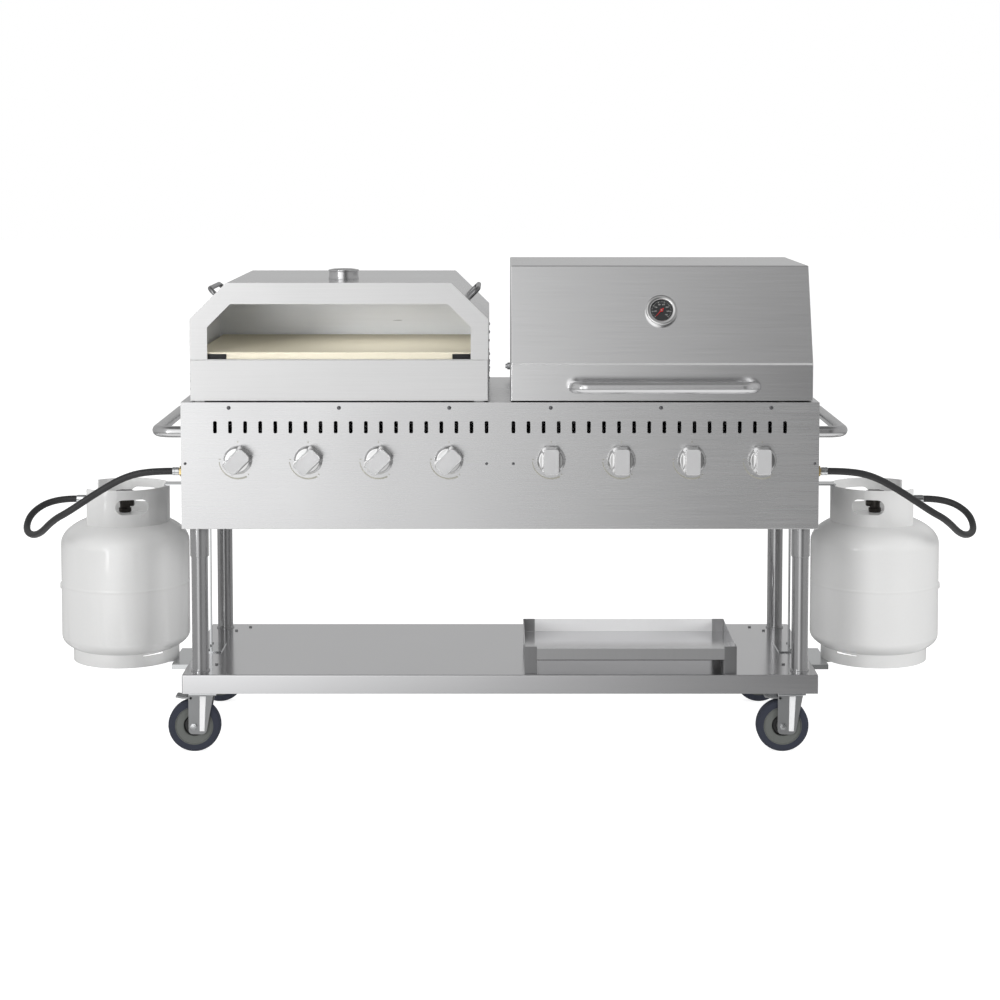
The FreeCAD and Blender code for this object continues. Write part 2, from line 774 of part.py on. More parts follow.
def build_casters():
    """Four swivel casters with trailing wheels, and brake pedals on the front pair."""
    leg_outline = (("-fork_back", "fork_foot"), ("fork_front_foot", "fork_foot"),
                   ("fork_front_top", "fork_crown"),
                   ("-fork_back", "fork_crown"))
    near = placed("fork_near", extruded("fork_cheek", "XZ_Plane", leg_outline, "fork_sheet"),
                  (0, "-fork_inner", 0))
    far = placed("fork_far", extruded("fork_cheek_far", "XZ_Plane", leg_outline, "fork_sheet", True),
                 (0, "fork_inner", 0))
    crown = block("fork_top", ("-fork_back", "race_diameter / 2"), ("-fork_outer", "fork_outer"),
                  ("fork_crown", "fork_crown + fork_crown_sheet"))
    race_foot = "fork_crown + fork_crown_sheet"
    race = rod("fork_race", "race_diameter", f"caster_height - plate_sheet - seat_gap - ({race_foot})",
               (0, 0, race_foot))
    welded = join("fork_welded", near, far, crown, race)
    king_bore = rod("fork_king_bore", "kingpin_diameter + 2 * running_gap", "caster_height",
                    (0, 0, "fork_crown"))
    axle_hole = rod("fork_axle_hole", "axle_diameter", "2 * fork_outer",
                    ("-caster_offset", "-fork_outer", "wheel_radius"),
                    "y")
    plain_fork = cut("fork_plain", welded, king_bore, axle_hole)
    pivot = "-pedal_pivot_back", "-fork_outer", "pedal_pivot_rise"
    braked_fork = cut("fork_braked", plain_fork,
                      rod("fork_pedal_hole", "pedal_pin + 2 * running_gap", "2 * fork_outer", pivot, "y"))
    axle_bar = rod("axle_bar", "axle_diameter", "2 * fork_outer",
                   ("-caster_offset", "-fork_outer", "wheel_radius"), "y")
    heads = []
    for name, start in (("near", "-fork_outer - axle_head_height"), ("far", "fork_outer")):
        heads.append(rod(f"axle_head_{name}", "axle_head", "axle_head_height",
                         ("-caster_offset", start, "wheel_radius"),
                         "y"))
    axle = join("axle", axle_bar, *heads)

    tyre_half = "wheel_width / 2"
    tyre_round = turned("tyre_ring", (("hub_radius", f"-{tyre_half}"), ("wheel_radius", f"-{tyre_half}"),
                                      ("wheel_radius", tyre_half), ("hub_radius", tyre_half)))
    document.recompute()
    rims = [f"Edge{index}" for index, edge in enumerate(tyre_round.Shape.Edges, start=1)
            if hasattr(edge.Curve, "Radius") and abs(edge.Curve.Radius - value("wheel_radius")) < 0.01]
    ring = tyre_round.Tip
    rounding = tyre_round.newObject("PartDesign::Fillet", "tyre_shoulders")
    rounding.Base = (ring, rims)
    bind(rounding, Radius="tyre_round")
    rim, web, boss = "hub_radius - hub_rim", "hub_web / 2", "hub_boss / 2"
    rim_half = "wheel_width / 2 - hub_inset"
    bore = "axle_diameter / 2 + running_gap"
    half_boss = "hub_boss_width / 2"
    hub = turned("hub_wheel",
                 ((bore, f"-{half_boss}"), (boss, f"-{half_boss}"), (boss, f"-{web}"), (rim, f"-{web}"),
                               (rim, f"-({rim_half})"), ("hub_radius", f"-({rim_half})"),
                               ("hub_radius", rim_half),
                               (rim, rim_half), (rim, web), (boss, web), (boss, half_boss),
                               (bore, half_boss)))
    plate = block("plate_flat", ("-plate_length / 2", "plate_length / 2"),
                  ("-plate_width / 2", "plate_width / 2"),
                  ("caster_height - plate_sheet", "caster_height"))
    head_top = "fork_crown - seat_gap"
    kingpin = rod("kingpin", "kingpin_diameter", f"caster_height - ({head_top})", (0, 0, head_top))
    king_head = rod("kingpin_head", "kingpin_head", "kingpin_head_height",
                    (0, 0, f"{head_top} - kingpin_head_height"))
    mounting = join("plate_with_kingpin", plate, kingpin, king_head)
    pedal_flat = block("pedal_flat", ("-pedal_pivot_back - pedal_reach", "pedal_tail - pedal_pivot_back"),
                       ("fork_gap - fork_inner", "fork_inner - fork_gap"),
                       ("pedal_pivot_rise - pedal_sheet / 2", "pedal_pivot_rise + pedal_sheet / 2"))
    pin = rod("pedal_pin", "pedal_pin", "2 * fork_outer", pivot, "y")
    pedal = join("pedal", pedal_flat, pin)

    plates = []
    for row, step in ROWS:
        for side, sign in SIDES:
            at = caster_place(sign, step)
            wheel_at = f"{at[0]} - caster_offset", at[1], "wheel_radius"
            spot = f"{row}_{side}"
            fork = braked_fork if row == "front" else plain_fork
            keep(placed(f"caster_fork_{spot}", group(f"fork_set_{spot}", fork, axle), at))
            keep(placed(f"caster_tyre_{spot}", tyre_round, wheel_at, (1, 0, 0), 90))
            keep(placed(f"caster_hub_{spot}", hub, wheel_at, (1, 0, 0), 90))
            plates.append(placed(f"plate_{spot}", mounting, at))
            if row == "front":
                keep(placed(f"caster_brake_{spot}", pedal, at))
    keep(group("caster_plates", *plates))


def knob_x(sign, number):
    """Distance of a knob's axis from the middle."""
    return f"{sign} * (knob_start + {number} * knob_pitch)"


def build_control_panel():
    """Front panel with vent slots, stem holes and screws."""
    body = new_body("panel_sheet_body")
    half, inside = "body_half", "body_half - sheet"
    face = draw_outline(sketch(body, "panel_face", "XZ_Plane"),
                        rectangle(f"-{half}", half, "body_bottom", "body_top"))
    pad(body, face, "sheet", True)
    for name, low in (("panel_foot", "body_bottom"), ("panel_head", "body_top - 2 * sheet")):
        edge = rectangle(f"-({inside})", inside, low, f"{low} + sheet")
        pad(body, draw_outline(sketch(body, name, "XZ_Plane"), edge), "sheet + flange", True)
    for side, sign in SIDES:
        low = "body_top - vent_drop - vent_height"
        middle = f"{sign} * vent_start"
        slot = draw_outline(sketch(body, f"vent_{side}", "XZ_Plane"),
                            rectangle(f"{middle} - vent_width / 2", f"{middle} + vent_width / 2", low,
                                      f"{low} + vent_height"))
        repeat(body, pocket(body, slot), slot, "vent_count", "vent_pitch", sign < 0)
        hole = draw_circle(sketch(body, f"stem_hole_{side}", "XZ_Plane"), "stem_hole",
                           (knob_x(sign, 0), "knob_z"))
        repeat(body, pocket(body, hole), hole, str(KNOBS_PER_SIDE), "knob_pitch", sign < 0)
    sheet_metal = placed("panel_sheet_metal", body, (0, "panel_front", 0))
    spots = []
    for sign in (-1, 1):
        for number in range(3):
            spots.append((f"{sign} * (screw_start + {number} * screw_pitch)", "body_top - screw_drop",
                          "screw_head"))
        for across in ("vent_start", "body_half - small_screw_inset"):
            spots.append((f"{sign} * ({across})", "body_bottom + small_screw_rise", "small_screw_head"))
    shanks = []
    for number, (across, up, head) in enumerate(spots):
        at = across, "panel_front", up
        shanks.append(fastener(f"panel_screw_{number}", head, "screw_head_height", "screw_length", at, "y",
                               1))
    keep(cut("control_panel", sheet_metal, *shanks))


def build_body():
    """End walls, divider, burner rails, rear panel and top frame."""
    rim = "body_top - sheet"
    back = "body_rear - sheet"
    foot_start = "panel_back + flange"
    pipe_hole = rod("pipe_hole", "pipe_diameter + 2 * seat_gap", "2 * body_width",
                    ("-body_width", "pipe_y", "pipe_z"), "x")
    walls = []
    for side, sign in SIDES:
        wall = block(f"end_wall_{side}_face", span(sign, "body_half - sheet", "body_half"),
                     ("panel_back", "body_rear"),
                     ("body_bottom", rim))
        foot = block(f"end_wall_{side}_foot", span(sign, "body_half - wall_foot", "body_half - sheet"),
                     (foot_start, back), ("body_bottom", "body_bottom + sheet"))
        walls.append(cut(f"end_wall_{side}", join(f"end_wall_{side}_bent", wall, foot), pipe_hole))
    middle = block("divider_face", ("-sheet / 2", "sheet / 2"), (foot_start, back),
                   ("body_bottom", f"{rim} - sheet"))
    feet = block("divider_foot_plate", ("-divider_foot", "divider_foot"), (foot_start, back),
                 ("body_bottom", "body_bottom + sheet"))
    walls.append(cut("divider", join("divider_bent", middle, feet), pipe_hole))
    burner_holes = []
    for side, sign in SIDES:
        for number in range(KNOBS_PER_SIDE):
            burner_holes.append(rod(f"burner_hole_{side}_{number}", "burner_diameter + 2 * seat_gap",
                                    "body_depth",
                                    (knob_x(sign, number), "panel_front", "knob_z"), "y"))
    for side, sign in SIDES:
        for row, step in ROWS:
            name = f"rail_{row}_{side}"
            start = f"panel_front + rail_setback + {step} * rail_span"
            across = span(sign, "sheet / 2", "body_half - sheet")
            web = block(name + "_web", across, (start, f"{start} + sheet"),
                        ("rail_top - rail_height", "rail_top"))
            lip = (start, f"{start} + flange") if step == 0 else (f"{start} + sheet - flange",
                                                                  f"{start} + sheet")
            shelf = block(name + "_shelf", across, lip, ("rail_top - sheet", "rail_top"))
            walls.append(cut(name, join(name + "_bent", web, shelf), *burner_holes))
    keep(group("burner_box", *walls))

    sheet_back = block("rear_sheet", ("sheet - body_half", "body_half - sheet"), (back, "body_rear"),
                       ("body_bottom", rim))
    windows = []
    for side, sign in SIDES:
        windows.append(block(f"rear_window_{side}",
                             span(sign, "tray_inner - tray_window_gap", "tray_outer + tray_window_gap"),
                             (back, "body_rear"), ("body_bottom + sheet",
                                                   "tray_floor + tray_height + tray_window_gap")))
    keep(cut("rear_panel", sheet_back, *windows))

    deck = block("deck_sheet", ("-body_half", "body_half"), ("panel_back", "body_rear"), (rim, "body_top"))
    bay_front, bay_rear = "panel_front + bay_setback", "panel_front + bay_setback + bay_depth"
    wells, openings = [], []
    for side, sign in SIDES:
        openings.append(block(f"bay_{side}_opening", span(sign, "bay_inner", "bay_outer"),
                              (bay_front, bay_rear),
                              ("body_top - bay_lip + sheet", "body_top")))
        openings.append(block(f"bay_{side}_way_down",
                              span(sign, "bay_inner + bay_ledge", "bay_outer - bay_ledge"),
                              (f"{bay_front} + bay_ledge", f"{bay_rear} - bay_ledge"),
                              ("body_top - bay_lip", "body_top - bay_lip + sheet")))
        wells.append(block(f"bay_{side}_well", span(sign, "bay_inner - sheet", "bay_outer + sheet"),
                           (f"{bay_front} - sheet", f"{bay_rear} + sheet"), ("body_top - bay_lip", rim)))
    ears = []
    for side, edge, inward in (("left", "hood_left", 1), ("right", "hood_right", -1)):
        near = f"{edge} + {inward} * (sheet + seat_gap)"
        far = f"{edge} + {inward} * (sheet + seat_gap + hinge_tab)"
        across = (near, far) if inward > 0 else (far, near)
        ears.append(block(f"hinge_ear_{side}", across,
                          ("hinge_y - hinge_tab_width / 2", "hinge_y + hinge_tab_width / 2"),
                          ("body_top", "hinge_z + hinge_bolt")))
    hinge_bore = rod("hinge_bore", "hinge_bolt + 2 * running_gap", "hood_right - hood_left",
                     ("hood_left", "hinge_y", "hinge_z"),
                     "x")
    keep(cut("top_frame", join("top_frame_welded", deck, *wells, *ears), *openings, hinge_bore))


def build_gas_train():
    """Manifold pipe, valves, burner tubes, heat plates, grates and drip trays."""
    pipe = rod("manifold_pipe", "pipe_diameter", "body_width", ("-body_half", "pipe_y", "pipe_z"), "x")
    valve_foot = "knob_z - valve_height / 2"
    bosses, valves, tubes, hats = [], [], [], []
    profile = (("-heat_plate_width / 2", "0"), ("sheet - heat_plate_width / 2", "0"),
               ("0", "heat_plate_height - sheet"),
               ("heat_plate_width / 2 - sheet", "0"), ("heat_plate_width / 2", "0"),
               ("0", "heat_plate_height"))
    hat = extruded("heat_plate_bend", "XZ_Plane", profile, "heat_plate_length", True)
    for side, sign in SIDES:
        for number in range(KNOBS_PER_SIDE):
            across = knob_x(sign, number)
            name = f"{side}_{number}"
            bosses.append(rod(f"boss_{name}", "boss_diameter", f"{valve_foot} - pipe_z",
                              (across, "pipe_y", "pipe_z")))
            case = block(f"valve_case_{name}",
                         (f"{across} - valve_width / 2", f"{across} + valve_width / 2"),
                         ("pipe_y - valve_width / 2", "pipe_y + valve_width / 2"),
                         (valve_foot, "knob_z + valve_height / 2"))
            jet = rod(f"valve_jet_{name}", "orifice_diameter", "orifice_length",
                      (across, "pipe_y + valve_width / 2", "knob_z"), "y")
            socket = rod(f"valve_socket_{name}", "stem_diameter + 2 * running_gap",
                         "stem_socket + seat_gap",
                         (across, "pipe_y - valve_width / 2", "knob_z"), "y")
            valves.append(cut(f"valve_{name}", join(f"valve_solid_{name}", case, jet), socket))
            mouth = (across, "panel_front + burner_setback", "knob_z")
            outer = rod(f"burner_outer_{name}", "burner_diameter", "burner_length", mouth, "y")
            inner = rod(f"burner_inner_{name}", "burner_diameter - 2 * burner_wall",
                        "burner_length - burner_wall", mouth, "y")
            tubes.append(cut(f"burner_{name}", outer, inner))
            hats.append(placed(f"heat_plate_{name}", hat,
                               (across, "panel_front + rail_setback - heat_plate_overhang", "rail_top")))
    keep(join("gas_manifold", pipe, *bosses))
    keep(group("gas_valves", *valves))
    keep(group("burners", *tubes))
    keep(group("heat_plates", *hats))

    grate_body = new_body("grate_casting")
    pad(grate_body, draw_outline(sketch(grate_body, "grate_outline", "XY_Plane"),
                                 rectangle("0", "grate_width", "0", "grate_depth")), "grate_height")
    first = "grate_width / 2 - grate_pitch * (grate_slots - 1) / 2"
    gap = draw_outline(sketch(grate_body, "grate_gap", "XY_Plane"),
                       rectangle(f"{first} - grate_slot / 2", f"{first} + grate_slot / 2", "grate_border",
                                 "grate_depth - grate_border"))
    slot = pocket(grate_body, gap)
    slot.Reversed = True
    repeat(grate_body, slot, gap, "grate_slots", "grate_pitch")
    grates = []
    for side, sign in SIDES:
        for number in range(2):
            near = f"bay_inner + seat_gap + {number} * (grate_width + 2 * seat_gap)"
            left = near if sign > 0 else f"-({near}) - grate_width"
            grates.append(placed(f"grate_{side}_{number}", grate_body,
                                 (left, "panel_front + bay_setback + seat_gap", "grate_z")))
    keep(group("cooking_grates", *grates))

    tray_front = "panel_front + tray_setback"
    for side, sign in SIDES:
        across = span(sign, "tray_inner", "tray_outer")
        within = span(sign, "tray_inner + tray_sheet", "tray_outer - tray_sheet")
        outer = block(f"drip_{side}_outer", across, (tray_front, "body_rear"),
                      ("tray_floor", "tray_floor + tray_height"))
        hollow = block(f"drip_{side}_hollow", within,
                       (f"{tray_front} + tray_sheet", "body_rear - tray_sheet"),
                       ("tray_floor + tray_sheet", "tray_floor + tray_height"))
        lip = block(f"drip_{side}_pull", across, ("body_rear", "body_rear + tray_pull"),
                    ("tray_floor + tray_height - tray_sheet", "tray_floor + tray_height"))
        keep(cut(f"drip_tray_{side}", join(f"drip_{side}_bent", outer, lip), hollow))


def build_knobs():
    """Eight control knobs, each with its valve stem."""
    rim, crest = "knob_diameter / 2", "knob_top / 2"
    skirt = turned("knob_skirt_turned",
                   (("0", "0"), (rim, "0"), (rim, "knob_skirt"), (crest, "knob_rim"), ("0", "knob_rim")))
    bar = placed("knob_bar", extruded("knob_bar_block", "XZ_Plane",
                                      (("-grip_foot / 2", "knob_skirt"), ("grip_foot / 2", "knob_skirt"),
                                       ("grip_top / 2", "knob_depth"), ("-grip_top / 2", "knob_depth")),
                                       "grip_length"),
                 (0, "grip_length / 2", 0))
    grip = common("knob_grip", bar, rod("knob_grip_round", "grip_length", "knob_depth", (0, 0, 0)))
    pointer = block("knob_pointer", ("-pointer_width / 2", "pointer_width / 2"),
                    ("grip_top / 4", "grip_length / 2 - pointer_inset"),
                    ("knob_depth", "knob_depth + pointer_height"))
    solid = join("knob_solid", skirt, grip, pointer)
    stem_start = "knob_skirt"
    stem_length = f"{stem_start} + knob_stand + pipe_setback - valve_width / 2 + stem_socket"
    stem = rod("knob_stem", "stem_diameter", stem_length, (0, 0, f"{stem_start} - ({stem_length})"))
    knob = group("knob_with_stem", cut("knob_moulding", solid, stem), stem)
    count = 0
    for side, sign in SIDES:
        order = reversed(range(KNOBS_PER_SIDE)) if sign < 0 else range(KNOBS_PER_SIDE)
        for number in order:
            count += 1
            turned_knob = placed(f"knob_turned_{count}", knob, (0, 0, 0), (0, 0, 1),
                                 "knob_lean" if sign < 0 else 0)
            keep(placed(f"knob_{count}", turned_knob,
                        (knob_x(sign, number), "panel_front - knob_stand", "knob_z"),
                        (1, 0, 0), 90))


def build_push_handles():
    """A tube handle on each end wall."""
    loop = loop_handle("push_loop", "push_span", "push_reach", "push_tube", "push_bend")
    right = placed("push_right", loop,
                   ("body_half", "panel_front + push_setback + push_span / 2", "body_bottom + push_rise"),
                   (1, 1, 1), 120)
    keep(pair("push_handles", right))


def build_hood():
    """Sheet hood with its handle, hinge bolts and thermometer."""
    heel = "hood_base + hood_heel_rise"
    outline = (("hood_front", "hood_base"), ("hood_front", "hood_shoulder"), ("hood_brow", "hood_top"),
               ("hood_crest", "hood_top"), ("hood_back", "hood_top - hood_back_rise"), ("hood_back", heel),
               ("hood_back - hood_heel_run", "hood_base"))
    solid = placed("hood_solid", extruded("hood_block", "YZ_Plane", outline, "hood_right - hood_left"),
                   ("hood_left", 0, 0))
    shell = hollowed("hood_sheet", solid, faces_along((0, 0, -1)), "sheet")
    lean = "atan(hood_slope_rise / hood_slope_run)"
    gauge_at = ("gauge_across", "gauge_y", "gauge_z")
    probe = rod("gauge_probe", "gauge_probe", "gauge_probe_length", (0, 0, "-gauge_probe_length"))
    shaft = rod("hinge_shaft_hole", "hinge_bolt", "hood_right - hood_left",
                ("hood_left", "hinge_y", "hinge_z"), "x")
    notches = []
    notch_width = "hinge_tab + 2 * sheet"
    for side, low in (("left", "hood_left + sheet"), ("right", f"hood_right - sheet - ({notch_width})")):
        notches.append(block(f"hinge_notch_{side}", (low, f"{low} + {notch_width}"),
                             ("hood_back - hood_heel_run - 2 * sheet", "hood_back"),
                             ("hood_base", "hinge_z + hinge_notch")))
    keep(cut("hood_shell", shell, shaft, placed("gauge_hole", probe, gauge_at, (1, 0, 0), lean), *notches))

    loop = loop_handle("hood_handle_loop", "hood_handle_right - hood_handle_left", "hood_handle_reach",
                       "hood_handle_tube",
                       "hood_handle_bend")
    keep(placed("hood_handle", loop, ("(hood_handle_left + hood_handle_right) / 2", "hood_front",
                                      "hood_base + hood_handle_rise"), (1, 0, 0), 90))

    bolts = []
    for side, edge, inward in (("left", "hood_left", 1), ("right", "hood_right", -1)):
        length = "sheet + seat_gap + hinge_tab + seat_gap + hinge_nut_height"
        inner = f"{edge} + {inward} * ({length})"
        shank = rod(f"hinge_shank_{side}", "hinge_bolt", length,
                    (edge if inward > 0 else inner, "hinge_y", "hinge_z"), "x")
        head_start = f"{edge} - hinge_head_height" if inward > 0 else edge
        head = rod(f"hinge_head_{side}", "hinge_head", "hinge_head_height",
                   (head_start, "hinge_y", "hinge_z"), "x")
        nut_start = f"{inner} - hinge_nut_height" if inward > 0 else inner
        nut = rod(f"hinge_nut_{side}", "hinge_nut", "hinge_nut_height", (nut_start, "hinge_y", "hinge_z"),
                  "x")
        bolts.append(join(f"hinge_bolt_{side}", shank, head, nut))
    keep(group("hinge_bolts", *bolts))

    disc = rod("gauge_disc", "gauge_diameter", "gauge_depth", (0, 0, 0))
    recess = rod("gauge_recess", "gauge_window", "gauge_recess", (0, 0, "gauge_depth - gauge_recess"))
    pin = rod("gauge_pin", "gauge_pin", "gauge_pin_height", (0, 0, "gauge_depth - gauge_recess"))
    case = join("gauge_case", cut("gauge_cup", disc, recess), pin, probe)
    keep(placed("thermometer_case", case, gauge_at, (1, 0, 0), lean))
    needle_z = "gauge_depth - gauge_recess + needle_stand"
    hub = rod("needle_hub", "needle_hub", "needle_sheet", (0, 0, needle_z))
    blade = block("needle_blade", ("-needle_width / 2", "needle_width / 2"),
                  ("-needle_tail", "needle_length"),
                  (needle_z, f"{needle_z} + needle_sheet"))
    bore = rod("needle_bore", "gauge_pin + 2 * running_gap", "needle_sheet", (0, 0, needle_z))
    needle = placed("needle_leaning", cut("needle_flat", join("needle_solid", hub, blade), bore), (0, 0, 0),
                    (0, 0, 1),
                    "needle_lean")
    keep(placed("thermometer_needle", needle, gauge_at, (1, 0, 0), lean))


def oven_outline(low):
    """Outline of the oven's front, from a level up."""
    return (("oven_left", low), ("oven_right", low), ("oven_right", "oven_eave"),
            ("oven_right - oven_slope_run", "oven_top"),
            ("oven_left + oven_slope_run", "oven_top"), ("oven_left", "oven_eave"))


def build_oven():
    """Lift-off pizza oven: base, fascia, roof, stone, clips, vent cap and handles."""
    across = "oven_left", "oven_right"
    outer = block("oven_base_outer", across, ("oven_front", "oven_rear"), ("oven_base_z", "oven_deck"))
    hollow = block("oven_base_hollow", ("oven_left + sheet", "oven_right - sheet"),
                   ("oven_front + sheet", "oven_rear - sheet"),
                   ("oven_base_z + sheet", "oven_deck - sheet"))
    hem = "oven_foot_inset + oven_foot"
    below = block("oven_base_mouth", (f"oven_left + {hem}", f"oven_right - ({hem})"),
                  (f"oven_front + {hem}", f"oven_rear - ({hem})"), ("oven_base_z", "oven_base_z + sheet"))
    hatch = block("oven_base_hatch", ("oven_left + oven_shelf", "oven_right - oven_shelf"),
                  ("oven_front + oven_shelf", "oven_rear - oven_shelf"), ("oven_deck - sheet", "oven_deck"))
    feet = []
    for side, low in (("left", "oven_left + oven_foot_inset"), ("right", f"oven_right - ({hem})")):
        for row, start in (("front", "oven_front + oven_foot_inset"), ("rear", f"oven_rear - ({hem})")):
            feet.append(block(f"oven_foot_{row}_{side}", (low, f"{low} + oven_foot"),
                              (start, f"{start} + oven_foot"),
                              ("body_top", "oven_base_z + sheet")))
    keep(join("oven_base", cut("oven_base_box", outer, hollow, below, hatch), *feet))

    body = new_body("fascia_sheet")
    drawing = draw_outline(sketch(body, "fascia_outline", "XZ_Plane"), oven_outline("oven_deck"))
    left, right, top = "oven_left + mouth_side", "oven_right - mouth_side", "oven_deck + mouth_height"
    draw_outline(drawing, ((left, "oven_deck + sheet"), (right, "oven_deck + sheet"),
                           (right, f"{top} - mouth_corner"),
                           (f"{right} - mouth_corner", top), (f"{left} + mouth_corner", top),
                           (left, f"{top} - mouth_corner")))
    pad(body, drawing, "sheet", True)
    keep(placed("oven_fascia", body, (0, "oven_front", 0)))

    block_solid = placed("roof_solid",
                         extruded("roof_block", "XZ_Plane", oven_outline("oven_deck"), "oven_depth - sheet",
                                  True),
                         (0, "oven_front + sheet", 0))

    def is_open(face):
        return faces_along((0, 0, -1))(face) or faces_along((0, -1, 0))(face)

    cap_at = "oven_middle", "oven_front + vent_cap_setback"
    flue = rod("vent_flue", "vent_cap_bore", "2 * sheet", (*cap_at, "oven_top - 2 * sheet"))
    keep(cut("oven_roof", hollowed("roof_sheet", block_solid, is_open, "sheet"), flue))
    cap = rod("vent_drum", "vent_cap_diameter", "vent_cap_height", (*cap_at, "oven_top"))
    bore = rod("vent_bore", "vent_cap_bore", "vent_cap_height - vent_cap_wall", (*cap_at, "oven_top"))
    keep(cut("oven_vent_cap", cap, bore))

    stone_front = "oven_front + stone_setback"
    keep(block("pizza_stone", ("oven_left + stone_margin", "oven_right - stone_margin"),
               (stone_front, f"{stone_front} + stone_depth"), ("oven_deck", "oven_deck + stone_thickness")))
    clips = []
    for side, low in (("left", left), ("right", f"{right} - clip_width")):
        clips.append(block(f"stone_clip_{side}", (low, f"{low} + clip_width"),
                           (f"{stone_front} - clip_sheet", stone_front),
                           ("oven_deck", "oven_deck + clip_height")))
    keep(group("stone_clips", *clips))

    loop = loop_handle("oven_loop", "oven_handle_span", "oven_handle_reach", "oven_handle_tube",
                       "oven_handle_bend")
    sideways = placed("oven_loop_sideways", loop, (0, 0, 0), (0, 0, 1), 90)
    slope = "atan((oven_top - oven_eave) / oven_slope_run)"
    right_handle = placed("oven_handle_right", sideways,
                          ("oven_right - oven_slope_run / 2", "panel_front + oven_handle_setback",
                           "(oven_eave + oven_top) / 2"),
                          (0, 1, 0), slope)
    keep(group("oven_handles", right_handle,
               mirrored("oven_handle_left", right_handle, "oven_middle")))


def tank_solid(name, wall):
    """The tank's pressed form, smaller all round by a wall, standing on Z = 0."""
    radius = f"tank_diameter / 2 - ({wall})"
    middle = rod(name + "_middle", f"2 * ({radius})", "tank_body_height", (0, 0, "tank_body_rise"))
    heads = []
    for end, height, level in (("base", "tank_base_height", "tank_body_rise"),
                               ("head", "tank_head_height", "tank_shoulder")):
        dome = document.addObject("Part::Ellipsoid", f"{name}_{end}")
        bind(dome, Radius1=f"{height} - ({wall})", Radius2=radius, Radius3=radius)
        heads.append(put(dome, (0, 0, level)))
    return join(name, middle, *heads)


